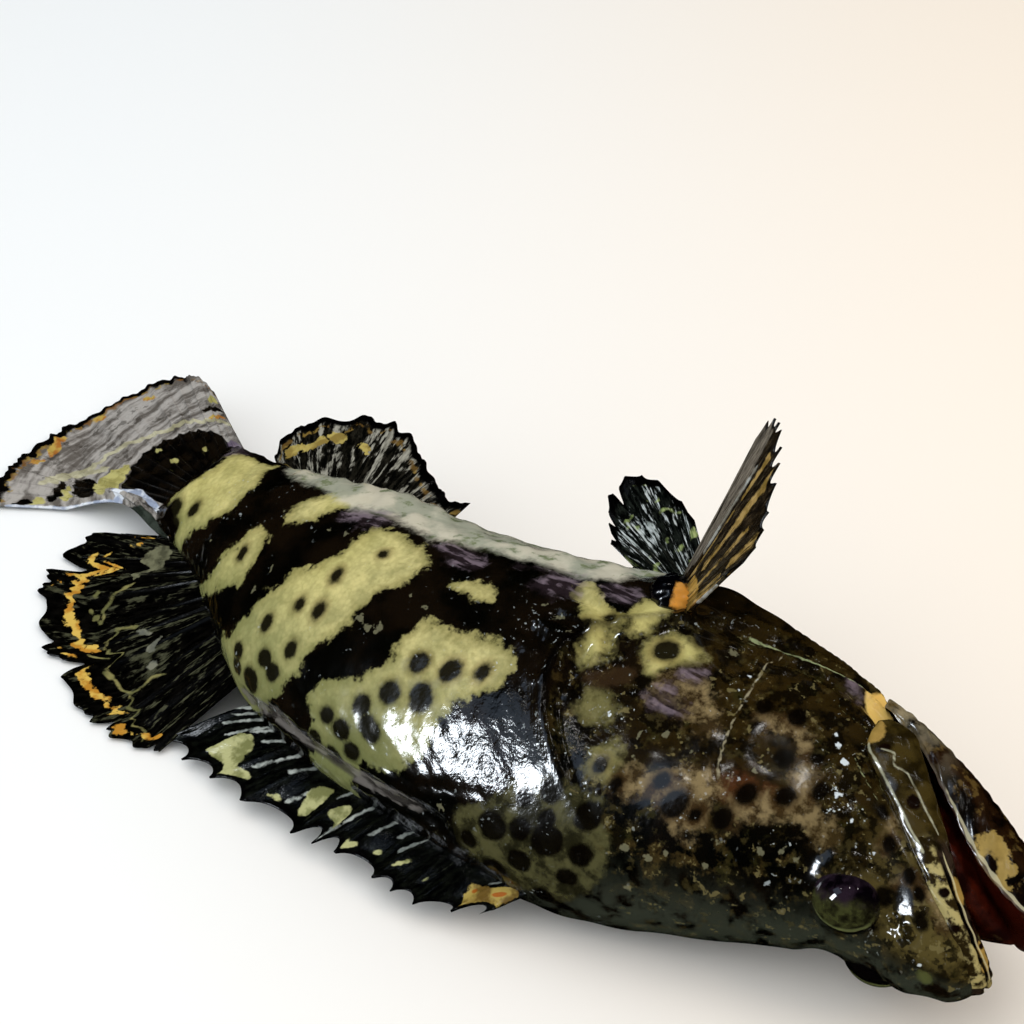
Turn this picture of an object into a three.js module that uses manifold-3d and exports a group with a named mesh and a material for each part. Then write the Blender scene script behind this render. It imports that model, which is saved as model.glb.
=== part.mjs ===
// A whole grouper as the fishmonger lays it out: on its right side, back towards -Y,
// belly towards +Y, head towards +X, mouth a little open and every fin spread.
// Millimetres, +Z up. The origin is under the middle of the fish, on the table.
//
// The fish is drawn in its own measures and then laid on the table:
//   u  distance back from the snout, along the body
//   d  distance towards the back (+) or the belly (-)
//   l  distance towards the left flank (+), which faces up, or the right one (-)
import * as THREE from "three";
import { mergeVertices } from "three/addons/utils/BufferGeometryUtils.js";
import Module from "manifold-3d";

// ---- driving dimensions ----
const bodyLength = 304;          // snout to the root of the tail fin
const middle = 150;              // u of the point that is laid over x = 0
const lean = 21 * Math.PI / 180; // the back sinks towards the table by this much
const axisHeight = 31;           // the body's axis above the table
const headBend = { from: 115, side: -9, up: -2.2 };
const tailBend = { from: 150, side: 18, up: -12.6 };
const boxMiddle = { x: -33.59, y: 0 }; // middle of the laid-out fish, brought to the origin
const ringPoints = 36;

// Body outline at stations along u: top and bottom edge, and half the width.
const stationU = [3, 3.7, 6, 10, 16, 23, 34, 50, 66, 90, 112, 142, 168, 192, 218, 242, 262, 284, 304];
const stationTop = [4, 8, 12, 15, 17.5, 19, 20.5, 27, 35.5, 46.5, 52.5, 53.5, 53.5, 52, 47, 36.5,
  27, 20.5, 19];
const stationBottom = [3, 1, -1, -3.5, -7, -12, -21, -33, -41, -45.5, -48, -40.5, -35, -32, -32, -27,
  -23, -19.5, -18.5];
const stationWidth = [0.6, 5, 9.5, 13, 16, 18.5, 21.5, 25, 28, 31, 32, 31.5, 30, 27, 22, 17, 12.5, 8, 5];

// Lower jaw, hung open: its lip edge, its underside, and half its width.
const jawU = [-10, -9, -6, 0, 10, 20, 32, 46, 60];
const jawTop = [-10.5, -8.5, -7.5, -7, -6.5, -9.5, -17.5, -27, -33];
const jawBottom = [-11.5, -14, -16.5, -20, -25, -29.5, -33.5, -36.5, -38];
const jawWidth = [0.6, 4, 7.5, 11, 14.5, 17, 19, 20, 19];

// Mouth hollow between the jaws.
const mouthU = [-16, -4, 6, 16, 28, 40, 47];
const mouthMiddle = [-2, -3, -4.5, -8, -16, -25, -30];
const mouthHeight = [5, 4.6, 5.5, 7, 7.5, 5.5, 1];
const mouthWidth = [9, 9, 11, 12.5, 13, 11, 2];

// ---- small numeric helpers ----

// A smooth curve through the stations, with the slope at each taken from its neighbours.
function along(stations, values, at) {
  const last = stations.length - 1;
  const place = Math.min(Math.max(at, stations[0]), stations[last]);
  let i = 0;
  while (i < last - 1 && place > stations[i + 1]) i += 1;
  const slope = (k) => {
    const a = Math.max(k - 1, 0);
    const b = Math.min(k + 1, last);
    return (values[b] - values[a]) / (stations[b] - stations[a]);
  };
  const span = stations[i + 1] - stations[i];
  const t = (place - stations[i]) / span;
  const rise = values[i + 1] - values[i];
  const blend = t * t * (3 - 2 * t);
  const ease = t * (1 - t) * (1 - t) * slope(i) - t * t * (1 - t) * slope(i + 1);
  return values[i] + rise * blend + span * ease;
}

const bump = (at, centre, reach) => {
  const t = Math.abs(at - centre) / reach;
  return t < 1 ? (1 - t * t) ** 2 : 0;
};

const { lerp, smoothstep } = THREE.MathUtils;

function curveThrough(route) {
  return new THREE.CatmullRomCurve3(route.map((p) => new THREE.Vector3(...p)), false, "centripetal");
}

// Lays a point of the fish on the table. The head turns a little to the back's side, and
// the tail sweeps the other way and sinks.
function lay(u, d, l) {
  const head = Math.max(0, headBend.from - u) / headBend.from;
  const tail = Math.max(0, u - tailBend.from) / tailBend.from;
  const axisY = headBend.side * head ** 2 + tailBend.side * tail ** 2;
  const axisZ = axisHeight + headBend.up * head ** 2 + tailBend.up * tail ** 2;
  const turnY = 2 * headBend.side * head / headBend.from - 2 * tailBend.side * tail / tailBend.from;
  const turnZ = 2 * headBend.up * head / headBend.from - 2 * tailBend.up * tail / tailBend.from;
  const offY = -Math.cos(lean) * d - Math.sin(lean) * l;
  const offZ = -Math.sin(lean) * d + Math.cos(lean) * l;
  const back = (turnY * offY + turnZ * offZ) / Math.hypot(1, turnY, turnZ);
  return new THREE.Vector3(
    middle - u - back - boxMiddle.x,
    axisY + offY - boxMiddle.y,
    axisZ + offZ,
  );
}

// ---- closed meshes from rings and sheets ----

function geometryOf(points, faces) {
  const geometry = new THREE.BufferGeometry();
  const places = points.flatMap((p) => [p.x, p.y, p.z]);
  geometry.setAttribute("position", new THREE.Float32BufferAttribute(places, 3));
  geometry.setIndex(faces.flat());
  return geometry;
}

// Skins a list of rings with equal point counts and closes both ends with a fan.
function loft(rings) {
  const count = rings[0].length;
  const points = rings.flat();
  const faces = [];
  for (let r = 0; r < rings.length - 1; r += 1) {
    for (let k = 0; k < count; k += 1) {
      const a = r * count + k;
      const b = r * count + (k + 1) % count;
      faces.push([a, b, b + count], [a, b + count, a + count]);
    }
  }
  for (const [r, flip] of [[0, true], [rings.length - 1, false]]) {
    const centre = rings[r].reduce((sum, p) => sum.add(p), new THREE.Vector3()).divideScalar(count);
    points.push(centre);
    for (let k = 0; k < count; k += 1) {
      const a = r * count + k;
      const b = r * count + (k + 1) % count;
      faces.push(flip ? [points.length - 1, b, a] : [points.length - 1, a, b]);
    }
  }
  return geometryOf(points, faces);
}

// Thickens a grid of points, columns by rows, into a closed plate.
function plate(grid, thicknessAt) {
  const columns = grid.length;
  const rows = grid[0].length;
  const sides = [[], []];
  for (let c = 0; c < columns; c += 1) {
    for (let r = 0; r < rows; r += 1) {
      const across = new THREE.Vector3().subVectors(
        grid[Math.min(c + 1, columns - 1)][r], grid[Math.max(c - 1, 0)][r]);
      const outward = new THREE.Vector3().subVectors(
        grid[c][Math.min(r + 1, rows - 1)], grid[c][Math.max(r - 1, 0)]);
      const normal = across.cross(outward).normalize().multiplyScalar(thicknessAt(c, r) / 2);
      sides[0].push(grid[c][r].clone().add(normal));
      sides[1].push(grid[c][r].clone().sub(normal));
    }
  }
  const total = columns * rows;
  const faces = [];
  const quad = (a, b, c, d) => faces.push([a, b, c], [a, c, d]);
  for (let c = 0; c < columns - 1; c += 1) {
    for (let r = 0; r < rows - 1; r += 1) {
      const a = c * rows + r;
      quad(a, a + rows, a + rows + 1, a + 1);
      quad(total + a, total + a + 1, total + a + rows + 1, total + a + rows);
    }
  }
  for (let c = 0; c < columns - 1; c += 1) {
    const root = c * rows;
    const tip = c * rows + rows - 1;
    quad(root, total + root, total + root + rows, root + rows);
    quad(tip, tip + rows, total + tip + rows, total + tip);
  }
  for (let r = 0; r < rows - 1; r += 1) {
    const first = r;
    const last = (columns - 1) * rows + r;
    quad(first, first + 1, total + first + 1, total + first);
    quad(last, total + last, total + last + 1, last + 1);
  }
  return geometryOf([...sides[0], ...sides[1]], faces);
}

const wasm = await Module();
wasm.setup();

function solid(geometry) {
  const bare = geometry.clone();
  bare.deleteAttribute("normal");
  bare.deleteAttribute("uv");
  const merged = mergeVertices(bare, 1e-4);
  const make = (triVerts) => new wasm.Manifold(new wasm.Mesh({
    numProp: 3,
    vertProperties: new Float32Array(merged.attributes.position.array),
    triVerts,
  }));
  const faces = new Uint32Array(merged.index.array);
  const first = make(faces);
  if (first.volume() > 0) return first;
  for (let k = 0; k < faces.length; k += 3) [faces[k], faces[k + 1]] = [faces[k + 1], faces[k]];
  return make(faces);
}

// ---- the body ----

// The gill cover stands a little proud of the flank behind its rounded rear edge, the
// cheek is full, and the skin swells round the eye.
function relief(u, d) {
  const coverEdge = 129 - 0.028 * (d - 2) ** 2;
  const cover = 2.4 * smoothstep(u, 74, 96) * (1 - smoothstep(u, coverEdge - 5, coverEdge + 2));
  const cheek = 1.5 * bump(u, 66, 24) * bump(d, -8, 24);
  const brow = 1.6 * bump(u, 36, 13) * bump(d, 12, 12);
  return cover * bump(d, 0, 46) + cheek + brow;
}

function bodySolid() {
  const stations = [];
  for (const u of [3, 3.5, 4.5, 6, 8, 11, 15, 19, 24, 29]) stations.push(u);
  for (let u = 34; u < 140; u += 6) stations.push(u);
  for (let u = 142; u < bodyLength; u += 9) stations.push(u);
  stations.push(bodyLength);
  const rings = stations.map((u) => {
    const top = along(stationU, stationTop, u);
    const bottom = along(stationU, stationBottom, u);
    const width = along(stationU, stationWidth, u);
    const centre = 0.45 * top + 0.55 * bottom;
    return Array.from({ length: ringPoints }, (_, k) => {
      const angle = 2 * Math.PI * k / ringPoints;
      const up = Math.cos(angle);
      const out = Math.sin(angle);
      const d = centre + up * (up > 0 ? top - centre : centre - bottom);
      const l = Math.sign(out) * width * Math.abs(out) ** 0.92;
      return lay(u, d, l + out * relief(u, d));
    });
  });
  return solid(loft(rings));
}

function jawSolid() {
  const rings = [-10, -9.4, -8, -5, 0, 6, 13, 20, 28, 36, 44, 52, 58].map((u) => {
    const top = along(jawU, jawTop, u);
    const bottom = along(jawU, jawBottom, u);
    const width = along(jawU, jawWidth, u);
    return Array.from({ length: 24 }, (_, k) => {
      const angle = 2 * Math.PI * k / 24;
      const up = Math.cos(angle);
      const out = Math.sin(angle);
      const d = (top + bottom) / 2 + Math.sign(up) * Math.abs(up) ** 0.8 * (top - bottom) / 2;
      return lay(u, d, width * Math.sign(out) * Math.abs(out) ** 0.8);
    });
  });
  return solid(loft(rings));
}

function mouthSolid() {
  const rings = [-16, -8, -2, 4, 10, 16, 22, 28, 34, 40, 44, 47].map((u) => {
    const centre = along(mouthU, mouthMiddle, u);
    const height = along(mouthU, mouthHeight, u);
    const width = along(mouthU, mouthWidth, u);
    return Array.from({ length: 20 }, (_, k) => {
      const angle = 2 * Math.PI * k / 20;
      return lay(u, centre + height * Math.cos(angle), width * Math.sin(angle));
    });
  });
  return solid(loft(rings));
}

// Upper lip and the broad jaw bone behind it, one band round the front of the snout.
function upperLipSolid() {
  const half = [[54, -28, 23.5], [44, -20.5, 22.5], [31, -11.5, 19.5], [19, -3, 15.5], [10, 2.5, 10.5],
    [5.5, 4.5, 4.5]];
  const curve = curveThrough([...half, ...half.slice().reverse().map(([u, d, l]) => [u, d, -l])]);
  const steps = 30;
  const rings = [];
  for (let s = 0; s <= steps; s += 1) {
    const t = s / steps;
    const spot = curve.getPoint(t);
    const tangent = curve.getTangent(t);
    const fromEnd = Math.min(t, 1 - t) * 2;
    const broad = lerp(6.2, 3.6, Math.min(1, fromEnd * 1.6)) * Math.min(1, 0.35 + fromEnd * 9);
    const thick = lerp(2.4, 3.2, fromEnd) * Math.min(1, 0.5 + fromEnd * 8);
    const side = new THREE.Vector3(-fromEnd, 0, (1 - fromEnd) * (t < 0.5 ? 1 : -1));
    const acrossLip = new THREE.Vector3().crossVectors(tangent, side).normalize();
    const outward = new THREE.Vector3().crossVectors(acrossLip, tangent).normalize();
    rings.push(Array.from({ length: 10 }, (_, k) => {
      const angle = 2 * Math.PI * k / 10;
      const p = spot.clone().addScaledVector(acrossLip, broad * Math.cos(angle))
        .addScaledVector(outward, thick * Math.sin(angle));
      return lay(p.x, p.y, p.z);
    }));
  }
  return solid(loft(rings));
}

function eyeSolid(u, d, l) {
  const ball = new THREE.SphereGeometry(1, 14, 10);
  ball.scale(9, 8, 8);
  const spot = lay(u, d, l);
  ball.translate(spot.x, spot.y, spot.z);
  return solid(ball);
}

// ---- the fins ----

const clearance = 0.5;

// A fin hung on rays. Roots and tips are outlines in (u, d, l); the membrane dips between
// the ray tips by the notch, and each ray is a low rib on both faces. Curl lifts the web
// towards the left flank; sweep bows it towards the belly.
function finSolid({ roots, tips, rays, rows, notch, thick, curl = () => 0, sweep = () => 0 }) {
  const rootLine = curveThrough(roots);
  const tipLine = curveThrough(tips);
  const columns = 2 * rays - 1;
  const grid = [];
  for (let c = 0; c < columns; c += 1) {
    const t = c / (columns - 1);
    const root = rootLine.getPoint(t);
    const tip = tipLine.getPoint(t);
    if (c % 2 === 1) tip.lerp(root, notch);
    grid.push(Array.from({ length: rows + 1 }, (_, r) => {
      const s = r / rows;
      const p = root.clone().lerp(tip, s);
      const laid = lay(p.x, p.y - sweep(t, s), p.z + curl(t, s));
      laid.z = Math.max(laid.z, clearance + thick / 2);
      return laid;
    }));
  }
  return solid(plate(grid, (c, r) => thick * (c % 2 === 0 ? 1.25 : 0.8) * (1 - 0.45 * r / rows)));
}

const spinyFin = {
  roots: [[108, 48, 0], [142, 49, 0], [174, 48, 0], [212, 44, 0]],
  tips: [[120, 63, 1], [134, 70, 2], [150, 70.5, 2], [166, 71, 2], [183, 73.5, 2], [211, 71.5, 1],
    [232, 72, 0]],
  rays: 11,
  rows: 3,
  notch: 0.38,
  thick: 2,
};

const softFin = {
  roots: [[224, 41, 0], [246, 30, 0], [266, 20, 0], [285, 14, 0]],
  tips: [[228, 74, 0], [236, 79, 0], [247, 81, 0], [261, 80.5, 0], [279, 76, 0], [295, 69, 0],
    [309, 59, 0], [318, 46, 0], [318, 34, 0], [307, 27, 0], [293, 25, 0]],
  rays: 14,
  rows: 4,
  notch: 0.05,
  thick: 2,
};

const tailFin = {
  roots: [[285, 18.5, 1], [296, 9, 0], [298, 0, 0], [297, -8, 0], [292, -17, 0]],
  tips: [[354, 58, 0], [362, 49, 0], [369.5, 35, 0], [374, 22, 0], [376.5, 8, 0], [373, -7, 0],
    [367, -20, 0], [359, -28, 0], [349, -31.5, 0], [336, -30, 0]],
  rays: 14,
  rows: 6,
  notch: 0.025,
  thick: 2.2,
  curl: (t, s) => 3.5 * bump(t, 0.08, 0.1) * bump(s, 0.42, 0.36) + 1.5 * s * (1 - smoothstep(t, 0, 0.2)),
  sweep: (t, s) => 18 * bump(s, 0.56, 0.56) * (1 - smoothstep(t, 0, 0.32)),
};

const analFin = {
  roots: [[208, -27, 0], [230, -25, 0], [253, -21, 0], [273, -17, 0]],
  tips: [[206, -40, 0], [212, -38, 0], [219, -40, 0], [229, -44, 0], [242, -50.5, 0], [256, -52.5, 0],
    [273, -47.5, 0], [285, -38, 0], [288.5, -29, 0], [284, -22, 0]],
  rays: 12,
  rows: 4,
  notch: 0.07,
  thick: 2,
};

function pelvicFin(side) {
  return {
    roots: [[117, -44, 9 * side], [124, -43.5, 7 * side], [131, -41.5, 5 * side]],
    tips: [[137, -64, 4 * side], [149, -70.5, 2 * side], [161.5, -72.5, 0], [168, -67.5, -side],
      [165.5, -58, -side], [156, -48, 0]],
    rays: 7,
    rows: 4,
    notch: 0.04,
    thick: 2,
  };
}

const leftPectoral = {
  roots: [[112, -27, 24], [116, -30, 23.5], [119, -34, 21]],
  tips: [[97, -30, 50], [92, -37.5, 58], [93, -47, 64], [97, -58.5, 68], [101, -65, 69],
    [106, -68, 65], [110, -59, 52]],
  rays: 11,
  rows: 5,
  notch: 0.05,
  thick: 2,
};

// Pressed flat between the flank and the table, its edge showing under the belly.
const rightPectoral = {
  roots: [[112, -27, -24], [116, -30, -23.5], [119, -34, -21]],
  tips: [[140, -22, -33], [158, -26, -32], [166, -36, -29], [166, -46, -24], [158, -54, -19],
    [146, -56, -15], [134, -54, -13]],
  rays: 11,
  rows: 5,
  notch: 0.04,
  thick: 2,
};

function pectoralKnob(side) {
  const knob = new THREE.SphereGeometry(1, 12, 8);
  knob.scale(6.5, 6.5, 5.5);
  const spot = lay(117, -30.5, 25 * side);
  knob.translate(spot.x, spot.y, spot.z);
  return solid(knob);
}

// ---- all of it in one piece, flat where it rests ----

let fish = bodySolid().add(jawSolid()).add(upperLipSolid()).subtract(mouthSolid());
const fins = [spinyFin, softFin, tailFin, analFin, pelvicFin(1), pelvicFin(-1), leftPectoral, rightPectoral];
const eyes = [eyeSolid(36, 12, 13.5), eyeSolid(31, 11, -13)];
for (const piece of [...eyes, pectoralKnob(1), pectoralKnob(-1), ...fins.map(finSolid)]) {
  fish = fish.add(piece);
}

const aboveTable = new THREE.BoxGeometry(600, 400, 300);
aboveTable.translate(0, 0, 150);
fish = fish.intersect(solid(aboveTable));

const joined = fish.getMesh();
const fishGeometry = new THREE.BufferGeometry();
fishGeometry.setAttribute("position", new THREE.Float32BufferAttribute(joined.vertProperties, 3));
fishGeometry.setIndex(new THREE.Uint32BufferAttribute(joined.triVerts, 1));
fishGeometry.computeVertexNormals();

const grouper = new THREE.Mesh(
  fishGeometry,
  new THREE.MeshStandardMaterial({ color: 0x4a4a32, roughness: 0.3, metalness: 0 }),
);
grouper.name = "grouper";

const wholeFish = new THREE.Group();
wholeFish.add(grouper);

export default wholeFish;
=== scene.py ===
# A whole grouper, wet from the wash, laid on its right side on a pale table: back towards
# the camera, mouth a little open and every fin spread.
import math
import bpy
import numpy as np
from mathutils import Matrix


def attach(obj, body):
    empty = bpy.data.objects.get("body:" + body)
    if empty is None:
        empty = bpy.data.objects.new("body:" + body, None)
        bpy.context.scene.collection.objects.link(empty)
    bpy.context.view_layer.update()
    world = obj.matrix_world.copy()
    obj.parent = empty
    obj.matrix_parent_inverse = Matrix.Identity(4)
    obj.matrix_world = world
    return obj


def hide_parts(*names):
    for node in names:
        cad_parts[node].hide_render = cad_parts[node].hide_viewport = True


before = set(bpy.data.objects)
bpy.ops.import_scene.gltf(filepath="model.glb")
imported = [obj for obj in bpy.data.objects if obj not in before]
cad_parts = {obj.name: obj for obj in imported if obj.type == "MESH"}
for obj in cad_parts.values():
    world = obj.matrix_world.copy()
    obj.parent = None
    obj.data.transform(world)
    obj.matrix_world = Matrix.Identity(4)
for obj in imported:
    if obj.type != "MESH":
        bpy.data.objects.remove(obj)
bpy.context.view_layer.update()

# ---------------------------------------------------------------------------------------
# The trunk: one skin from snout to tail root, a sphere whose rings are laid along the fish.
# Fish measures are in mm: u back from the snout, d towards the back, l towards the left
# flank, which faces up; v runs from 0 on the back to 1 on the belly.

RINGS_ALONG = 380
POINTS_AROUND = 252
SNOUT, TAIL_ROOT = 3.0, 304.0
LEAN = math.radians(21)
AXIS_HEIGHT = 31.0
HEAD_BEND = (115.0, -9.0, -2.2)
TAIL_BEND = (150.0, 18.0, -12.6)
MIDDLE = (150 + 33.59, 0.0)
TABLE_GAP = 0.3

STATION_U = [3, 3.7, 6, 10, 16, 23, 34, 50, 66, 90, 112, 142, 168, 192, 218, 242, 262, 284, 304]
STATION_TOP = [4, 8, 12, 15, 17.5, 19, 20.5, 27, 35.5, 46.5, 52.5, 53.5, 53.5, 52, 47, 36.5,
               27, 20.5, 19]
STATION_BOTTOM = [3, 1, -1, -3.5, -7, -12, -21, -33, -41, -45.5, -48, -40.5, -35, -32, -32, -27,
                  -23, -19.5, -18.5]
STATION_WIDTH = [0.6, 5, 9.5, 13, 16, 18.5, 21.5, 25, 28, 31, 32, 31.5, 30, 27, 22, 17, 12.5,
                 8, 5]


def lay(u, d, l):
    """Where a point of the fish lies on the table, in metres."""
    head = np.maximum(0, HEAD_BEND[0] - u) / HEAD_BEND[0]
    tail = np.maximum(0, u - TAIL_BEND[0]) / TAIL_BEND[0]
    axis_y = HEAD_BEND[1] * head ** 2 + TAIL_BEND[1] * tail ** 2
    axis_z = AXIS_HEIGHT + HEAD_BEND[2] * head ** 2 + TAIL_BEND[2] * tail ** 2
    turn_y = 2 * HEAD_BEND[1] * head / HEAD_BEND[0] - 2 * TAIL_BEND[1] * tail / TAIL_BEND[0]
    turn_z = 2 * HEAD_BEND[2] * head / HEAD_BEND[0] - 2 * TAIL_BEND[2] * tail / TAIL_BEND[0]
    off_y = -math.cos(LEAN) * d - math.sin(LEAN) * l
    off_z = -math.sin(LEAN) * d + math.cos(LEAN) * l
    back = (turn_y * off_y + turn_z * off_z) / np.sqrt(1 + turn_y ** 2 + turn_z ** 2)
    return np.stack([MIDDLE[0] - u - back, axis_y + off_y + MIDDLE[1], axis_z + off_z], 1) / 1000


def along(stations, values, at):
    """A smooth curve through the stations, its slopes taken from the neighbours."""
    stations, values = np.array(stations, float), np.array(values, float)
    last = len(stations) - 1
    at = np.clip(at, stations[0], stations[-1])
    low = np.maximum(np.arange(last + 1) - 1, 0)
    high = np.minimum(np.arange(last + 1) + 1, last)
    slope = (values[high] - values[low]) / (stations[high] - stations[low])
    i = np.clip(np.searchsorted(stations, at, side="left") - 1, 0, last - 1)
    span = stations[i + 1] - stations[i]
    t = (at - stations[i]) / span
    ease = t * (1 - t) ** 2 * slope[i] - t * t * (1 - t) * slope[i + 1]
    return values[i] + (values[i + 1] - values[i]) * t * t * (3 - 2 * t) + span * ease


def smooth(low, high, at):
    t = np.clip((at - low) / (high - low), 0, 1)
    return t * t * (3 - 2 * t)


def bump(at, centre, reach):
    t = np.minimum(np.abs(at - centre) / reach, 1)
    return (1 - t * t) ** 2


def ripple(u, w, pitch, seed):
    """A soft unevenness between -1 and 1 made of a few crossing waves."""
    turn = 2 * math.pi / pitch
    first = np.sin(turn * (u + 0.31 * w) + seed) * np.cos(turn * 0.83 * (w - 0.42 * u) + 2.1 * seed)
    second = np.sin(turn * 1.9 * (0.6 * u - w) + 1.7 * seed)
    return 0.65 * first + 0.35 * second


def ball(name, around, rings):
    """A sphere with its points, and each one's place from pole to pole and round the axis."""
    bpy.ops.object.select_all(action="DESELECT")
    bpy.ops.mesh.primitive_uv_sphere_add(segments=around, ring_count=rings, radius=1)
    piece = bpy.context.object
    piece.name = name
    places = points_of(piece)
    s = np.arctan2(np.hypot(places[:, 0], places[:, 1]), places[:, 2]) / math.pi
    return piece, s, np.arctan2(places[:, 1], places[:, 0])


def points_of(piece):
    flat = np.empty(len(piece.data.vertices) * 3)
    piece.data.vertices.foreach_get("co", flat)
    return flat.reshape(-1, 3)


def set_points(piece, places):
    """Puts the points in place, clear of the table."""
    places = places.copy()
    places[:, 2] = np.maximum(places[:, 2], TABLE_GAP / 1000)
    piece.data.vertices.foreach_set("co", places.ravel())
    piece.data.update()


def face_out(piece):
    """Turns all faces of a closed piece outwards and shades it smooth."""
    bpy.ops.object.select_all(action="DESELECT")
    piece.select_set(True)
    bpy.context.view_layer.objects.active = piece
    bpy.ops.object.mode_set(mode="EDIT")
    bpy.ops.mesh.select_all(action="SELECT")
    bpy.ops.mesh.normals_make_consistent(inside=False)
    bpy.ops.object.mode_set(mode="OBJECT")
    bpy.ops.object.shade_smooth()


def note(piece, name, values):
    """Keeps a value for every point of the piece, for its material."""
    layer = piece.data.attributes.new(name, "FLOAT", "POINT")
    layer.data.foreach_set("value", np.asarray(values, np.float32))


def join_fish(piece, material):
    piece.data.materials.append(material)
    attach(piece, "root")


def section(u, angle):
    """d and l of the trunk's skin at u, at an angle from the back."""
    top = along(STATION_U, STATION_TOP, u)
    bottom = along(STATION_U, STATION_BOTTOM, u)
    width = along(STATION_U, STATION_WIDTH, u) * (1 - 0.75 * smooth(293, 304, u))
    centre = 0.45 * top + 0.55 * bottom
    up, out = np.cos(angle), np.sin(angle)
    d = centre + up * np.where(up > 0, top - centre, centre - bottom)
    return d, np.sign(out) * width * np.abs(out) ** 0.92


def half_girth(u):
    height = (along(STATION_U, STATION_TOP, u) - along(STATION_U, STATION_BOTTOM, u)) / 2
    width = along(STATION_U, STATION_WIDTH, u)
    return math.pi * np.sqrt((height ** 2 + width ** 2) / 2)


skin, skin_s, skin_angle = ball("grouper_skin", POINTS_AROUND, RINGS_ALONG)
BLUNTNESS = 0.05
skin_u = SNOUT + (TAIL_ROOT - SNOUT) * skin_s ** 2 / (skin_s + BLUNTNESS) * (1 + BLUNTNESS)
skin_v = np.abs(skin_angle) / math.pi
girth = half_girth(skin_u)
skin_w = skin_v * girth


def rounded(outline):
    """Cuts the corners of a closed outline twice."""
    points = np.array(outline, float)
    for _ in range(2):
        following = np.roll(points, -1, 0)
        points = np.stack([0.75 * points + 0.25 * following, 0.25 * points + 0.75 * following], 1)
        points = points.reshape(-1, 2)
    return points


class Chart:
    """A sheet of skin as a map: two readings of each point, and the mm in one unit of each."""

    def __init__(self, a, b, a_mm, b_mm):
        self.a, self.b, self.a_mm, self.b_mm = a, b, a_mm, b_mm

    def off(self, a, b):
        """How far in mm the points lie from one of the map."""
        return (self.a - a) * self.a_mm, (self.b - b) * self.b_mm

    def to_line(self, route):
        """Distance in mm to a line of (a, b) points."""
        best = np.full(len(self.a), 1e6)
        for (a0, b0), (a1, b1) in zip(route, route[1:]):
            da, db = (a1 - a0) * self.a_mm, (b1 - b0) * self.b_mm
            pa, pb = self.off(a0, b0)
            t = np.clip((pa * da + pb * db) / (da * da + db * db + 1e-9), 0, 1)
            best = np.minimum(best, np.hypot(pa - t * da, pb - t * db))
        return best

    def lines(self, half, *routes):
        """How far in mm inside the nearest of some lines with that half width."""
        return np.max([half - self.to_line(route) for route in routes], 0)

    def inside(self, *outlines):
        """How far in mm inside the closed outlines; negative outside."""
        deepest = np.full(len(self.a), -1e6)
        for outline in outlines:
            points = rounded(outline)
            closed = np.vstack([points, points[:1]])
            crossed = np.zeros(len(self.a), bool)
            for (a0, b0), (a1, b1) in zip(closed, closed[1:]):
                if b0 != b1:
                    spans = (b0 > self.b) != (b1 > self.b)
                    crossed ^= spans & (self.a < (a1 - a0) * (self.b - b0) / (b1 - b0) + a0)
            deepest = np.maximum(deepest, self.to_line(closed) * np.where(crossed, 1, -1))
        return deepest

    def dots(self, places):
        """How far inside the nearest of some round spots (a, b, radius in mm)."""
        best = np.full(len(self.a), -1e6)
        for a, b, radius in places:
            best = np.maximum(best, radius - np.hypot(*self.off(a, b)))
        return best

    def wash(self, *pools):
        """Soft pools of one tint: (a, b, reach along in mm, reach across in mm, strength)."""
        total = np.zeros(len(self.a))
        for a, b, long, wide, strength in pools:
            pa, pb = self.off(a, b)
            total = np.maximum(total, strength * np.exp(-(pa / long) ** 2 - (pb / wide) ** 2))
        return total


flank = Chart(skin_u, skin_v, 1.0, girth)
skin_d, skin_l = section(skin_u, skin_angle)
set_points(skin, lay(skin_u, skin_d, skin_l))
outward = np.empty(len(skin_u) * 3)
skin.data.vertices.foreach_get("normal", outward)
outward = outward.reshape(-1, 3)
side = np.abs(np.sin(skin_angle))

# The gill cover ends in a rounded flap with a slit behind it; the cheek is full and the
# brow stands round the eye. Folds run under the throat and behind the gill.
EYE = (36.0, 12.0)
COVER_LIFT, SLIT_DEPTH = 2.6, 1.2
CHEEK_LIFT, BROW_LIFT, SOCKET_DEPTH = 1.5, 1.5, 2.5
PALATE_LIFT = 7.5
cover_edge = 129 - 0.028 * (skin_d - 2) ** 2
cover = COVER_LIFT * smooth(74, 96, skin_u)
cover *= 1 - smooth(cover_edge - 2.5, cover_edge + 1.2, skin_u)
slit = -SLIT_DEPTH * bump(skin_u, cover_edge + 2.2, 3.2)
raised = (cover + slit) * bump(skin_d, 0, 46)
raised += CHEEK_LIFT * bump(skin_u, 66, 24) * bump(skin_d, -8, 24)
eye_far = np.hypot(skin_u - EYE[0], (skin_d - EYE[1]) * 1.15)
raised += BROW_LIFT * bump(eye_far, 11.5, 6.5) - SOCKET_DEPTH * bump(eye_far, 0, 8)
PREOPERCLE = [(76, 0.40), (78, 0.42), (80, 0.46), (82, 0.51), (83, 0.56), (84, 0.61), (85.5, 0.68),
              (84, 0.72)]
bone_edge = flank.to_line(PREOPERCLE)
raised += 0.5 * bump(bone_edge, 0, 5) + 0.12 * bump(bone_edge, 0, 0.9)
THROAT_FOLDS = [
    [(58, 0.86), (72, 0.80), (85, 0.75), (98, 0.70), (108, 0.69)],
    [(66, 0.92), (80, 0.86), (94, 0.81), (106, 0.78), (114, 0.77)],
    [(48, 0.80), (60, 0.77), (72, 0.74), (84, 0.70)],
]
for fold in THROAT_FOLDS:
    from_fold = flank.to_line(fold)
    raised += 0.9 * bump(from_fold, 0, 3.2) - 0.9 * bump(from_fold, 4.0, 1.6)
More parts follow.
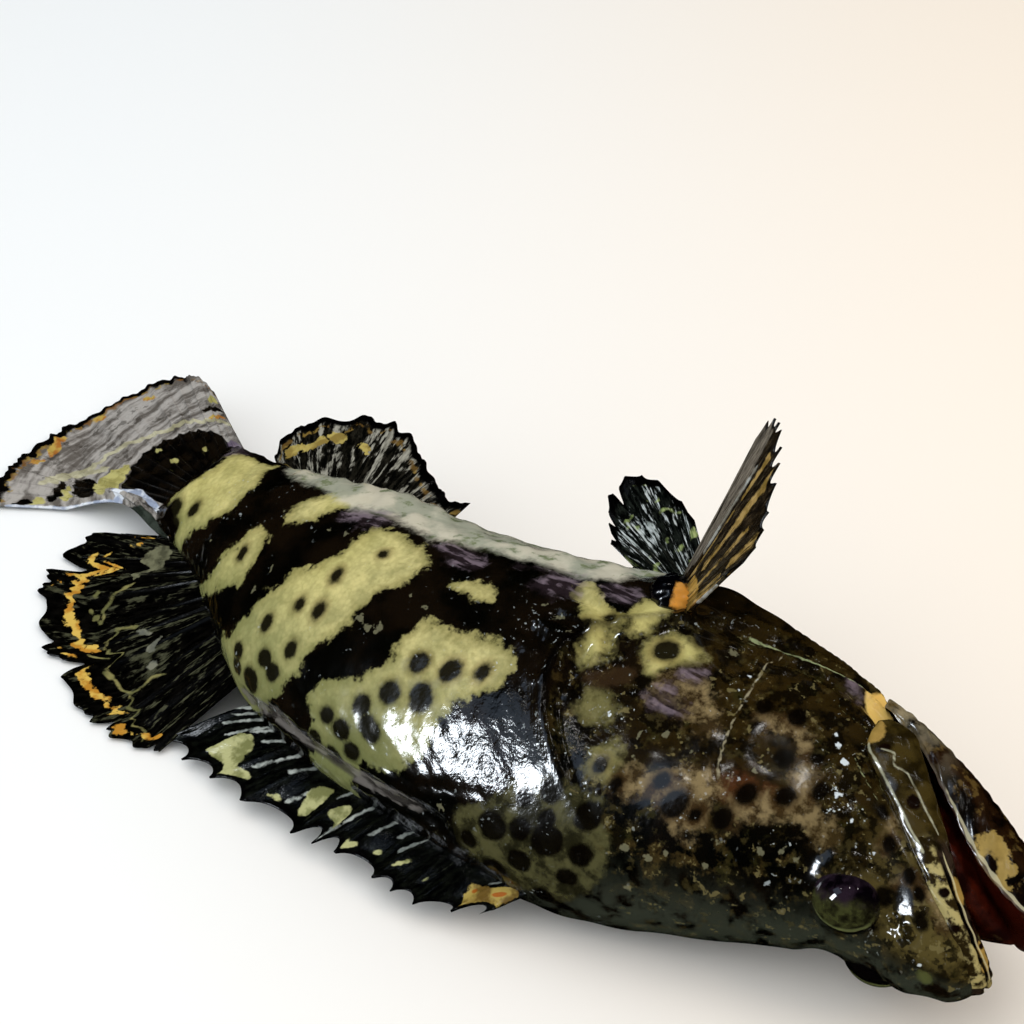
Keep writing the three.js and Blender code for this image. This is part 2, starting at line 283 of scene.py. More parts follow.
SHOULDER_FOLDS = [
    [(124, 0.46), (127, 0.52), (131, 0.56), (139, 0.57)],
    [(121, 0.54), (126, 0.60), (133, 0.63), (142, 0.64)],
    [(133, 0.46), (136, 0.50), (142, 0.52)],
]
for fold in SHOULDER_FOLDS:
    from_fold = flank.to_line(fold)
    raised += 0.8 * bump(from_fold, 0, 2.2) - 0.6 * bump(from_fold, 3.2, 1.8)
NOSTRILS = [(19, 0.33, 1.6), (24, 0.31, 1.2)]
for u, v, radius in NOSTRILS:
    far = np.hypot(*flank.off(u, v))
    raised += 0.5 * bump(far, radius * 1.5, radius) - 1.4 * bump(far, 0, radius)
LATERAL_LINE = [(130, 0.22), (150, 0.17), (175, 0.18), (200, 0.22), (225, 0.28), (250, 0.38),
                (275, 0.47), (298, 0.50)]
raised += 0.25 * bump(flank.to_line(LATERAL_LINE), 0, 1.6)
SHEATH = [(216, 0.05), (200, 0.11), (186, 0.10), (164, 0.105), (140, 0.11)]
raised += 1.3 * bump(flank.to_line(SHEATH), 0, 4.5) * (skin_v < 0.2)
loose = 0.25 + 0.35 * smooth(0.5, 0.8, skin_v)
loose = loose * smooth(20, 60, skin_u) * (1 - smooth(285, 300, skin_u))
raised += loose * ripple(skin_u, skin_w, 23, 1.0)
raised += 0.12 * ripple(skin_u, skin_w, 7.5, 2.3) * smooth(100, 140, skin_u)
# The roof of the mouth is drawn up between the jaw bones.
palate = bump(skin_u, 22, 26) * smooth(0.80, 0.93, skin_v)
skin_d = skin_d + PALATE_LIFT * palate
# A soft swelling low on the snout, where the other eye shines through in the wet.
raised += 1.2 * bump(np.hypot(*flank.off(13, 0.15)), 0, 5)
raised = raised * smooth(0, 0.3, side + 0.2)
set_points(skin, lay(skin_u, skin_d, skin_l) + outward * raised[:, None] / 1000)
face_out(skin)

# Its pattern is read as outlines on the flank: pale bands and patches on near black, each with dark spots,
# and pools of tan, lemon, lilac and silver that tint them. A mint line along the gill fold and thin lines on
# the cheek are painted highlights.
PALE = [
    [(278, -0.1), (277, 0.1), (276, 0.2), (273, 0.3), (266, 0.4), (264, 0.5), (265, 0.6), (270, 0.7),
     (268, 0.8), (290, 0.8), (294, 0.7), (291, 0.6), (293, 0.55), (294, 0.5), (300, 0.45), (301, 0.4),
     (300, 0.3), (288, 0.25), (283, 0.2), (284, -0.1)],
    [(255.5, -0.1), (256, 0.05), (253, 0.1), (250, 0.15), (247, 0.22), (237, 0.29), (236, 0.35),
     (236, 0.4), (239, 0.46), (247, 0.46), (249, 0.4), (250, 0.35), (253, 0.3), (252, 0.22),
     (255, 0.15), (258, 0.1), (261, 0.05), (260, -0.1)],
    [(235, 0.505), (231, 0.55), (226, 0.6), (222, 0.65), (219, 0.74), (236, 0.74), (238, 0.65),
     (241, 0.6), (240, 0.55), (239, 0.505)],
    [(213, -0.1), (213, 0), (208, 0.05), (204, 0.1), (200, 0.2), (195, 0.25), (196, 0.3), (192, 0.35),
     (189, 0.4), (189, 0.45), (185, 0.5), (181, 0.55), (181, 0.62), (204, 0.66), (208, 0.6),
     (209, 0.55), (210, 0.5), (217, 0.45), (219, 0.4), (223, 0.35), (225, 0.3), (226, 0.25),
     (228, 0.2), (232, 0.15), (234, 0.1), (236, 0), (236, -0.1)],
    [(152, 0.2), (160, 0.16), (168, 0.15), (168, -0.1), (184, -0.1), (184, 0.1), (187, 0.2),
     (190, 0.24), (184, 0.28), (180, 0.31), (176, 0.32), (174, 0.35), (171, 0.38), (172, 0.42),
     (169, 0.48), (157, 0.47), (145, 0.48), (140, 0.47), (138, 0.42), (143, 0.38), (150, 0.33),
     (150, 0.26)],
    [(156, 0.565), (160, 0.545), (168, 0.55), (171, 0.575), (165, 0.59), (158, 0.585)],
    [(142, 0.67), (138, 0.70), (132, 0.64), (126, 0.62), (122, 0.61), (124, 0.57), (121, 0.54),
     (120, 0.52), (122, 0.50), (126, 0.49), (128, 0.53), (130, 0.57), (136, 0.61)],
    [(124, 0.67), (118, 0.69), (114, 0.67), (114, 0.62), (116, 0.59), (120, 0.59), (122, 0.62)],
    [(114, 0.58), (112, 0.60), (108, 0.62), (104, 0.63), (98, 0.61), (99, 0.59), (103, 0.57), (105, 0.53),
     (108, 0.51), (110, 0.54)],
    [(120, 0.45), (118, 0.46), (110, 0.45), (108, 0.43), (111, 0.42), (114, 0.40), (118, 0.42)],
    [(108, 0.34), (108, 0.36), (106, 0.38), (102, 0.39), (98, 0.36), (99, 0.32), (104, 0.32)],
]
NAPE = [(136, 0.17), (132, 0.19), (126, 0.22), (122, 0.28), (114, 0.29), (106, 0.30), (98, 0.30), (92, 0.21),
        (90, 0.15), (96, 0.07), (100, 0.03), (108, 0.05), (118, 0.03), (130, 0.05), (135, 0.11)]
SPOTS = [
    (287, 0.17, 3.2), (292, 0.26, 3.6), (282, 0.34, 1.8), (244, 0.37, 1.6), (213, 0.14, 3.6),
    (221, 0.13, 2.2), (222, 0.18, 2.2), (205, 0.215, 2.2), (210, 0.23, 2.2), (202, 0.29, 2),
    (216, 0.30, 1.8), (201, 0.39, 1.8), (209, 0.38, 1.5), (204, 0.47, 1.6), (196, 0.57, 1.3),
    (176, 0.12, 2.6), (170, 0.16, 2.4), (175, 0.20, 2.6), (181, 0.21, 2.2), (166, 0.23, 2.6),
    (172, 0.27, 2.6), (157, 0.33, 2.8), (166, 0.32, 2.6), (154, 0.40, 2.4), (163, 0.39, 2.2),
    (183, 0.14, 2), (108, 0.58, 2.9), (102, 0.64, 1.9), (104, 0.35, 1.8), (82, 0.33, 3.0),
    (76, 0.32, 1.2), (88, 0.36, 1.7), (98, 0.33, 1.5), (68, 0.39, 2.1), (60, 0.42, 2.0),
    (66, 0.49, 2.0), (70, 0.59, 2.0), (70, 0.33, 2.2), (54, 0.47, 1.7), (78, 0.57, 2.0),
    (60, 0.53, 1.5), (76, 0.52, 1.3), (100, 0.26, 3.4), (98, 0.18, 2.9), (124, 0.17, 3.8),
    (116, 0.19, 2.9), (108, 0.19, 4.4), (114, 0.12, 3.3), (100, 0.12, 2.6), (110, 0.23, 2.2),
    (112, 0.28, 2.8), (118, 0.25, 2.0), (121, 0.06, 3.4), (106, 0.04, 2.8), (130, 0.11, 2.4),
    (146, 0.42, 1.7), (158, 0.34, 2.6), (168, 0.24, 2.2), (130, 0.56, 2.0), (126, 0.60, 1.4),
    (34, 0.51, 1.6), (26, 0.51, 1.6), (32, 0.65, 1.3), (22, 0.50, 1.3), (24, 0.43, 2.2), (28, 0.36, 2.0),
    (40, 0.56, 1.4), (18, 0.42, 1.6), (38, 0.66, 1.2),
]
FLECKS = [(183, 0.41, 1.2), (187, 0.42, 1.5), (180, 0.42, 1.6), (229, 0.33, 0.9), (228, 0.40, 0.8),
          (262, 0.3, 0.6), (178, 0.5, 0.9), (172, 0.49, 0.9), (243, 0.55, 0.8), (220, 0.56, 1.1),
          (214, 0.57, 1.1), (146, 0.57, 1.0), (144, 0.59, 0.9), (138, 0.57, 1.4), (132, 0.54, 0.9),
          (140, 0.15, 1.5), (140, 0.07, 0.9), (138, 0.0, 1.1), (88, 0.22, 1.4), (82, 0.21, 1.3),
          (78, 0.23, 0.9), (84, 0.13, 1.0), (94, 0.65, 1.6), (100, 0.42, 0.9), (94, 0.44, 1.1),
          (86, 0.43, 0.7), (98, 0.38, 0.7), (70, 0.44, 1.0), (74, 0.41, 0.9), (68, 0.28, 1.2),
          (58, 0.29, 1.0), (54, 0.31, 1.2), (50, 0.30, 0.9), (42, 0.48, 1.0), (68, 0.22, 0.9)]
TAN = [
    [(106, 0.54), (102, 0.56), (98, 0.54), (94, 0.57), (90, 0.54), (86, 0.50), (84, 0.49), (83, 0.47),
     (86, 0.46), (92, 0.48), (96, 0.50), (102, 0.48), (105, 0.51)],
    [(102, 0.36), (98, 0.37), (92, 0.37), (88, 0.37), (85, 0.40), (78, 0.41), (74, 0.38), (72, 0.29),
     (74, 0.27), (79, 0.29), (84, 0.31), (88, 0.33), (94, 0.31), (100, 0.32)],
    [(78, 0.53), (76, 0.56), (70, 0.575), (65, 0.56), (61, 0.55), (59, 0.51), (56, 0.47), (55, 0.44),
     (50, 0.43), (44, 0.40), (45, 0.35), (50, 0.365), (54, 0.38), (60, 0.37), (64, 0.35), (66, 0.32),
     (69, 0.33), (71, 0.37), (66, 0.40), (60, 0.42), (61, 0.47), (64, 0.51), (67, 0.54), (72, 0.52),
     (76, 0.51)],
    [(38, 0.61), (36, 0.68), (33, 0.70), (34, 0.62), (35, 0.56), (32, 0.56), (33, 0.48), (36, 0.48),
     (37, 0.55)],
    [(27, 0.53), (26, 0.57), (21, 0.58), (15, 0.55), (12, 0.47), (15, 0.49), (20, 0.53), (22, 0.49),
     (26, 0.42), (29, 0.42), (27, 0.48)],
]
RUSSET = [(79, 0.39), (74, 0.43), (66, 0.43), (60, 0.42), (62, 0.39), (70, 0.37), (76, 0.36)]
CREAM = [(134, 0.70), (146, 0.695), (160, 0.71), (174, 0.705), (184, 0.68), (202, 0.68), (212, 0.66),
         (222, 0.63), (240, 0.70), (262, 0.72), (268, 0.8), (266, 1.1), (112, 1.1), (114, 0.92),
         (128, 0.80)]
LILAC = [
    [(224, 0.60), (222, 0.66), (206, 0.71), (203, 0.67), (212, 0.61)],
    [(186, 0.67), (178, 0.69), (166, 0.66), (170, 0.61), (178, 0.63)],
    [(153, 0.64), (148, 0.69), (140, 0.68), (137, 0.64), (145, 0.61)],
    [(164, 0.69), (150, 0.71), (140, 0.72), (150, 0.69)],
    [(298, 0.72), (290, 0.78), (286, 0.86), (296, 0.84)],
    [(102, 0.54), (102, 0.57), (98, 0.58), (94, 0.57), (96, 0.54)],
    [(104, 0.50), (102, 0.52), (98, 0.51), (93, 0.48), (98, 0.47), (102, 0.47)],
    [(136, 0.68), (134, 0.70), (124, 0.70), (124, 0.65), (130, 0.65)],
    [(69, 0.78), (66, 0.79), (62, 0.78), (62, 0.76), (66, 0.77)],
]
# Painted highlights: a mint-tinted line along the gill-membrane fold, and thin bright lines along the cheek
# folds.
MINT_HIGHLIGHT = [(94, 0.72), (88, 0.735), (80, 0.745), (74, 0.77), (68, 0.79), (63, 0.81)]
PAINTED_HIGHLIGHT_LINES = [
    [(54, 0.61), (50, 0.59), (46, 0.58), (42, 0.57)],
    [(66, 0.70), (64, 0.68), (60, 0.69)],
    [(78, 0.72), (76, 0.71)],
    [(54, 0.70), (48, 0.65), (44, 0.61), (38, 0.62)],
]
BROWN_FOLD = [(124, 0.48), (120, 0.49), (114, 0.52), (110, 0.52), (110, 0.50), (112, 0.48), (118, 0.46),
              (122, 0.47)]
# Painted glints: small blue-white dots of reflected light on the head and shoulder.
PAINTED_BLUE_GLINTS = [(60, 0.62, 0.5), (58, 0.60, 0.9), (54, 0.57, 1.0), (50, 0.54, 0.5), (50, 0.49, 0.8),
               (46, 0.48, 0.6), (44, 0.46, 0.5), (36, 0.44, 0.7), (86, 0.62, 0.5), (86, 0.58, 0.5),
               (108, 0.48, 0.6), (110, 0.43, 0.5), (108, 0.36, 0.5), (14, 0.21, 0.8), (40, 0.42, 0.5)]
COVER_RIM = [(126, 0.47), (120, 0.50), (116, 0.55), (114, 0.60), (108, 0.66), (100, 0.705), (92, 0.72),
             (82, 0.73), (72, 0.75)]
YELLOW = [(66, 0.80), (64, 0.85), (62, 0.92), (56, 0.85), (54, 0.74), (57, 0.74), (62, 0.78)]
head_share = 1 - smooth(-4, 8, skin_u - cover_edge)
cover_rim = 0.8 * bump(flank.to_line(COVER_RIM), 0, 1.2)
behind_cover = bump(skin_u, cover_edge + 5, 3) * bump(skin_d, 6, 30)
skin_marks = {
    "pale": flank.inside(*PALE),
    "spots": flank.dots(SPOTS),
    "flecks": flank.dots(FLECKS),
    "tan": flank.inside(*TAN),
    "russet": flank.inside(RUSSET),
    "cream": flank.inside(CREAM),
    "lemon": flank.wash((122, 0.60, 12, 12, 0.9), (106, 0.58, 9, 9, 0.8), (290, 0.5, 30, 60, 0.55),
                        (255, 0.2, 25, 30, 0.45), (225, 0.67, 9, 7, 0.7), (214, 0.55, 16, 20, 0.5),
                        (66, 0.83, 14, 8, 0.9)),
    # Pools that darken the pale and tan patches: the two near the back, at u 168 and 202, are painted shade;
    # the rest deepen the patches' own tone on the head and shoulder.
    "deeper_tone_and_painted_shade": flank.wash((114, 0.43, 9, 9, 0.85), (112, 0.26, 14, 7, 0.35), (202, 0.13, 16, 10, 0.6),
                      (168, 0.15, 20, 16, 0.85), (106, 0.36, 7, 7, 0.5), (46, 0.4, 8, 8, 0.3),
                      (100, 0.6, 6, 6, 0.2)),
    # Painted shade: the flank's patches greener and darker towards the back, behind the head.
    "painted_back_shade": (1 - smooth(0.24, 0.46, skin_v)) * (1 - head_share) * 0.5,
    "yellow": flank.inside(YELLOW),
    "nape": flank.inside(NAPE),
    "mint_highlight": np.maximum(flank.lines(1.05, MINT_HIGHLIGHT), flank.lines(0.35, *PAINTED_HIGHLIGHT_LINES)),
    "lilac": flank.inside(*LILAC),
    "sheath": bump(flank.to_line(SHEATH), 0, 4.5) * smooth(140, 156, skin_u),
    "brown_fold": flank.inside(BROWN_FOLD),
    "painted_glints": flank.dots(PAINTED_BLUE_GLINTS),
    "second": 2.0 - np.hypot(*flank.off(12, 0.13)),
    "brown": smooth(0.30, 0.50, skin_v) * (1 - smooth(92, 118, skin_u)),
    "fold": np.maximum(cover_rim, behind_cover),
    "head": head_share,
    "front": (1 - smooth(26, 44, skin_u)) * smooth(0.1, 0.3, skin_v),
    "lining": palate * smooth(0.84, 0.90, skin_v),
    "slit": bump(skin_u, cover_edge + 2.0, 2.6) * bump(skin_d, 0, 46) * (skin_v < 0.75),
    "bone": 0.42 - bone_edge,
    "scaly": smooth(105, 135, skin_u) * (1 - 0.6 * smooth(0.75, 1.0, skin_v)),
    # Painted shade along the back, which leans towards the table: the patches there are darker and greener.
    "under": 1 - smooth(0.02, 0.24, skin_v),
    # Along the brow beside the table: grey-green mottling, partly a painted reflection of the table.
    "brow": (1 - smooth(0.02, 0.24, skin_v)) * (1 - smooth(84, 132, skin_u)),
    # Places where the wet skin breaks the light: the crinkled shoulder, and beads on the head; they also set
    # where painted glint specks lie.
    "crinkle": flank.wash((134, 0.32, 20, 26, 1.0), (114, 0.36, 8, 20, 0.8), (124, 0.55, 9, 9, 0.5)),
    "beads": flank.wash((56, 0.58, 5, 8, 1.0), (50, 0.49, 4, 6, 0.9), (44, 0.46, 4, 5, 0.8),
                        (36, 0.44, 4, 4, 0.9), (86, 0.59, 3, 8, 0.9), (108, 0.42, 4, 14, 0.9),
                        (110, 0.48, 4, 6, 0.8), (88, 0.29, 6, 6, 0.5), (68, 0.33, 12, 8, 0.3),
                        (140, 0.53, 16, 10, 0.5), (268, 0.52, 8, 12, 0.5), (104, 0.31, 8, 6, 0.7),
                        (76, 0.36, 10, 10, 0.4), (48, 0.30, 10, 10, 0.4), (24, 0.30, 8, 10, 0.6)),
}
for skin_mark, mark_values in skin_marks.items():
    note(skin, skin_mark, mark_values)


class Value:
    """A socket that gives a value: an expression on it adds Math nodes."""

    def __init__(self, finish, socket):
        self.finish = finish
        self.socket = socket

    def math(self, operation, *values):
        return self.finish.node("Math", {"operation": operation}, dict(enumerate(values)))

    def __add__(self, other):
        return self.math("ADD", self, other)

    def __radd__(self, other):
        return self.math("ADD", other, self)

    def __sub__(self, other):
        return self.math("SUBTRACT", self, other)

    def __rsub__(self, other):
        return self.math("SUBTRACT", other, self)

    def __mul__(self, other):
        return self.math("MULTIPLY", self, other)

    def __rmul__(self, other):
        return self.math("MULTIPLY", other, self)

    def min(self, other):
        return self.math("MINIMUM", self, other)

    def size(self):
        return self.math("ABSOLUTE", self)

    def step(self, low, high):
        """0 up to low, 1 from high, and smooth between."""
        settings = {"interpolation_type": "SMOOTHSTEP"}
        return self.finish.node("MapRange", settings, {0: self, 1: low, 2: high, 3: 0.0, 4: 1.0})


def ink(tone):
    """A colour from (red, green, blue) as it looks on screen, from 0 to 255."""
    return (*((part / 255) ** 2.2 for part in tone), 1.0)


class Finish:
    """A material under construction."""

    def __init__(self, name):
        self.material = bpy.data.materials.new(name)
        self.material.use_nodes = True
        self.tree = self.material.node_tree
        self.shader = self.tree.nodes["Principled BSDF"]
        self.places = {}

    def node(self, kind, settings=None, inputs=None, output=0):
        """Adds a node, sets its settings, then its sockets, and gives one of its outputs."""
        made = self.tree.nodes.new("ShaderNode" + kind)
        for name, value in (settings or {}).items():
            setattr(made, name, value)
        for name, value in (inputs or {}).items():
            self.plug(made.inputs[name], value)
        return Value(self, made.outputs[output])

    def plug(self, socket, value):
        if isinstance(value, Value):
            self.tree.links.new(value.socket, socket)
        else:
            socket.default_value = value

    def kept(self, name):
        """A value that was noted on the piece's points."""
        return self.node("Attribute", {"attribute_name": name}, output="Fac")

    def place(self, stretch=(1, 1, 1)):
        """Object coordinates in mm, stretched; each stretch has one node."""
        if stretch not in self.places:
            scale = tuple(1000 * part for part in stretch)
            place = self.node("TexCoord", output="Object")
            self.places[stretch] = self.node("Mapping", {}, {"Vector": place, "Scale": scale})
        return self.places[stretch]

    def noise(self, pitch, detail=3.0, rough=0.55, where=None):
        """Fractal noise from 0 to 1, with that pitch in mm."""
        where = where or self.place()
        inputs = {"Vector": where, "Scale": 1 / pitch, "Detail": detail, "Roughness": rough}
        return self.node("TexNoise", {}, inputs, "Fac")

    def cells(self, pitch):
        """Distance to the nearest of many scattered points, with that pitch in mm."""
        inputs = {"Vector": self.place(), "Scale": 1 / pitch}
        return self.node("TexVoronoi", {"feature": "F1"}, inputs, "Distance")

    def mix(self, mask, under, over):
        """Two colours, nodes or (red, green, blue), by a mask from 0 to 1."""
        under, over = (ink(tone) if isinstance(tone, tuple) else tone for tone in (under, over))
        return self.node("Mix", {"data_type": "RGBA"}, {0: mask, 6: under, 7: over}, 2)

    def wear(self, colour, roughness, height, shine=0.75):
        """Sets colour and gloss, with relief in mm."""
        relief = {"Strength": 1.0, "Distance": 0.001, "Height": height}
        for name, value in {
            "Base Color": colour,
            "Roughness": roughness,
            "Normal": self.node("Bump", {}, relief),
            "Specular IOR Level": shine,
        }.items():
            self.plug(self.shader.inputs[name], value)
        return self.material


def skin_finish():
    wet = Finish("wet_mottled_skin")
    broad = wet.noise(16, 4)
    patchy = wet.noise(9, 4, 0.6)
    wobble = (wet.noise(5, 4, 0.55) - 0.5) * 8.5
    crumb = (wet.noise(1.6, 2, 0.6) - 0.5) * 3.4
    grain = wet.cells(1.5)
    edge = wobble + crumb
    head = wet.kept("head")
    spot_field = wet.kept("spots") + 0.3 + edge * 0.25

    # Black, browner on the cheek, and grey-green and mottled along the brow beside the table, partly a
    # painted reflection of the table in the wet skin.
    dark = wet.mix(broad.step(0.4, 0.62), (10, 10, 7), (23, 18, 12))
    moss = (wet.noise(8, 4, 0.6) + 0.15).step(0.4, 0.7)
    dark = wet.mix(wet.kept("brown") * moss, dark, (42, 33, 15))
    dark = wet.mix(wet.kept("front") * patchy.step(0.35, 0.55), dark, (78, 69, 39))
    mottle = wet.noise(6, 4, 0.65).step(0.53, 0.62)
    dark = wet.mix(mottle * head * 0.75, dark, wet.mix(patchy.step(0.4, 0.6), (42, 40, 20), (60, 49, 26)))
    dark = wet.mix(wet.noise(5.5, 4, 0.6).step(0.49, 0.57) * head * 0.85, dark, (14, 12, 8))
    # Grey-green mottling along the brow, partly a painted reflection of the table.
    dark = wet.mix(wet.kept("brow") * wet.noise(6, 4, 0.6).step(0.36, 0.52), dark, (52, 56, 47))

    # Olive to lemon patches, deeper near their edges and round their spots, with painted shade towards the
    # back.
    olive = wet.mix(patchy.step(0.35, 0.65), (156, 151, 101), (197, 187, 127))
    olive = wet.mix(wet.noise(2.6, 3).step(0.48, 0.75) * 0.4, olive, (122, 120, 70))
    lemon = wet.mix(wet.noise(6).step(0.35, 0.65), (208, 198, 124), (182, 173, 101))
    olive = wet.mix(wet.kept("lemon"), olive, lemon)
    olive = wet.mix((1 - (wet.kept("pale") + edge * 0.6).step(0.3, 3.6)) * 0.55, olive, (112, 106, 58))
    olive = wet.mix(spot_field.step(-2.4, -0.3) * 0.5, olive, (100, 84, 44))
    # Painted shade from the back pools of this wash; its pools on the head and shoulder deepen the patches'
    # own tone.
    olive = wet.mix(wet.kept("deeper_tone_and_painted_shade"), olive, (70, 68, 36))
    # Painted shade along the back.
    olive = wet.mix(wet.kept("under") * 0.75, olive, (84, 88, 56))
    # Painted shade towards the back.
    olive = wet.mix(wet.kept("painted_back_shade"), olive, (112, 120, 76))
    olive = wet.mix(grain.step(0.35, 0.75) * 0.16 * wet.kept("scaly"), olive, (92, 88, 48))

    pale = ((wet.kept("pale") + edge) * (1 - head * 0.6)).step(-0.9, 0.9)
    colour = wet.mix(pale, dark, olive)
    nape = (wet.kept("nape") + edge).step(-1.5, 1.5)
    net = wet.mix(wet.noise(7, 4, 0.6).step(0.4, 0.62), (34, 33, 21), (76, 74, 48))
    colour = wet.mix(nape, colour, net)

    haze = wet.noise(3.4, 3, 0.6).step(0.55, 0.66) * head
    colour = wet.mix(haze * 0.35, colour, (74, 66, 38))
    light = (wet.noise(3.0, 3, 0.6) + wet.kept("front") * 0.04).step(0.62, 0.68) * head
    colour = wet.mix(light * 0.6, colour, (110, 101, 66))
    russet = (wet.kept("russet") + edge * 0.6).step(-3, 3)
    colour = wet.mix(russet * wet.noise(5, 4).step(0.38, 0.6) * 0.7, colour, (78, 48, 28))
    tan = (wet.kept("tan") + edge * 1.1).step(-1.8, 1.3)
    ochre = wet.mix(wet.noise(4, 4, 0.65).step(0.4, 0.62), (54, 43, 26), (124, 108, 76))
    ochre = wet.mix(spot_field.step(-2.6, -0.3) * 0.6, ochre, (58, 42, 22))
    ochre = wet.mix(wet.kept("deeper_tone_and_painted_shade"), ochre, (60, 50, 24))
    colour = wet.mix(tan * 0.92, colour, ochre)
    gold = wet.mix(wet.noise(5), (222, 200, 120), (214, 160, 74))
    colour = wet.mix((wet.kept("yellow") + edge * 0.3).step(-0.6, 0.6), colour, gold)
    colour = wet.mix((wet.kept("brown_fold") + edge * 0.5).step(-1, 1) * 0.85, colour, (50, 38, 25))

    spots = spot_field.step(-0.9, 0.6)
    colour = wet.mix(spots * 0.97, colour, (14, 11, 7))
    flecks = (wet.kept("flecks") + (wet.noise(1.8, 2) - 0.5) * 4).step(0.1, 0.6)
    colour = wet.mix(flecks * 0.6, colour, (116, 114, 90))
    colour = wet.mix((wet.kept("second") + crumb * 0.5).step(-0.6, 1.2) * 0.8, colour, (84, 88, 50))

    cream = (wet.kept("cream") + edge * 0.8).step(-1.5, 3)
    silver = wet.mix(wet.noise(12, 4).step(0.4, 0.6), (196, 190, 170), (158, 160, 142))
    silver = wet.mix(wet.noise(6, 4, 0.6).step(0.56, 0.66), silver, (118, 126, 96))
    colour = wet.mix(cream * 0.95, colour, silver)
    streak = wet.noise(2.4, 3, 0.5, wet.place((0.25, 1, 1))).step(0.45, 0.6)
    plum = wet.mix(streak, (44, 36, 40), (124, 110, 120))
    colour = wet.mix((wet.kept("lilac") + edge * 1.2).step(-2.5, 2.5) * 0.7, colour, plum)
    # Painted highlight lines, mint-tinted along the gill fold.
    colour = wet.mix((wet.kept("mint_highlight") + crumb * 0.35).step(0.1, 0.6) * 0.7, colour, (168, 180, 134))
    sheath = (wet.kept("sheath") + (streak - 0.5) * 0.3).step(0.3, 0.7)
    colour = wet.mix(sheath * 0.8, colour, wet.mix(streak, (58, 55, 52), (108, 104, 100)))
    # Painted shade in the slit behind the gill cover.
    colour = wet.mix(wet.kept("slit") * 0.9, colour, (7, 6, 5))
    colour = wet.mix((wet.kept("bone") + crumb * 0.25).step(0.0, 0.35) * 0.75, colour, (150, 142, 116))
    # Painted glints.
    colour = wet.mix((wet.kept("painted_glints") + crumb * 0.8).step(0.0, 0.4) * 0.85, colour, (206, 216, 222))
    # Painted glint specks, strewn where the skin is crinkled or beaded.
    glint_specks_share = wet.kept("beads") * 0.9 + wet.kept("crinkle") * 0.5
    glint_specks_share = (glint_specks_share + wet.noise(10, 2).step(0.54, 0.62) * 0.45).min(1.0)
    painted_glint_specks = wet.noise(1.7, 3, 0.6).step(0.655, 0.69) * glint_specks_share
    colour = wet.mix(painted_glint_specks * 0.8, colour, (178, 188, 190))
    colour = wet.mix(wet.kept("lining"), colour, (60, 20, 12))

    scales = (1 - grain) * wet.kept("scaly")
    creases = wet.noise(2.6, 3, 0.6)
    ridges = (wet.noise(2.8, 3, 0.6) - 0.5).size()
    beads = wet.cells(1.9).step(0.55, 0.15) * wet.kept("beads")
    height = scales * 0.022 + creases * 0.04 + ridges * wet.kept("crinkle") * 0.26 + beads * 0.10
    height = height * (1 - 0.3 * head) + wet.noise(9, 3) * (1 - head) * 0.2 + wet.kept("fold") * 0.4
    roughness = 0.07 + 0.12 * wet.noise(14, 3) + 0.03 * pale
    return wet.wear(colour, roughness, height)


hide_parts("grouper")
join_fish(skin, skin_finish())

# ---------------------------------------------------------------------------------------
# The lower jaw hangs open: a bony scoop with a rounded lip and its floor sunk behind the
# lip. A yellow patch with a dark spot sits near its tip.

JAW_U = [-10, -9, -6, 0, 10, 20, 32, 46, 60]
JAW_TOP = [-10.5, -8.5, -7.5, -7, -6.5, -9.5, -17.5, -27, -33]
JAW_BOTTOM = [-11.5, -14, -16.5, -20, -25, -29.5, -33.5, -36.5, -38]
JAW_WIDTH = [0.6, 4, 7.5, 11, 14.5, 17, 19, 20, 19]
JAW_TIP, JAW_ROOT = -10.0, 58.0


jaw, jaw_s, jaw_angle = ball("lower_jaw", 128, 150)
jaw_u = JAW_TIP + (JAW_ROOT - JAW_TIP) * jaw_s ** 2 / (jaw_s + 0.12) * 1.12
jaw_top = along(JAW_U, JAW_TOP, jaw_u)
jaw_bottom = along(JAW_U, JAW_BOTTOM, jaw_u)
jaw_up, jaw_out = np.cos(jaw_angle), np.sin(jaw_angle)
jaw_d = (jaw_top + jaw_bottom) / 2
jaw_d += np.sign(jaw_up) * np.abs(jaw_up) ** 0.8 * (jaw_top - jaw_bottom) / 2
jaw_l = along(JAW_U, JAW_WIDTH, jaw_u) * np.sign(jaw_out) * np.abs(jaw_out) ** 0.8
jaw_floor = smooth(0.35, 0.9, jaw_up) * smooth(-7, 3, jaw_u)
jaw_d -= 4.5 * jaw_floor
lip_ridge = bump(jaw_angle ** 2, 1.0, 0.7) * (jaw_up > 0)
jaw_l *= 1 + 0.05 * lip_ridge + 0.02 * ripple(jaw_u, jaw_angle * 12, 9, 0.5)
set_points(jaw, lay(jaw_u, jaw_d + 0.3 * ripple(jaw_u, jaw_angle * 14, 6, 1.4), jaw_l))
face_out(jaw)
note(jaw, "floor", smooth(0.3, 0.6, jaw_up) * smooth(-8, -3, jaw_u))
note(jaw, "lip", bump(jaw_up, 0.5, 0.4))
# Painted highlight: a pale line along the ridge near the jaw's upper edge.
note(jaw, "ridge_highlight", bump(jaw_up, 0.3, 0.10) * (1 - smooth(26, 44, jaw_u)))
note(jaw, "throat", smooth(30, 55, jaw_u))
jaw_skin = Chart(jaw_u, np.abs(jaw_angle), 1.0, 13.0)
note(jaw, "patch", jaw_skin.inside([(8, 1.1), (13, 0.85), (19, 1.0), (21, 1.5), (16, 1.9), (9, 1.7)]))
note(jaw, "spots", jaw_skin.dots([(14.5, 1.35, 2.2), (25, 1.1, 1.5), (5, 1.4, 1.6), (20, 2.0, 1.4),
                                  (-3, 1.5, 1.6)]))


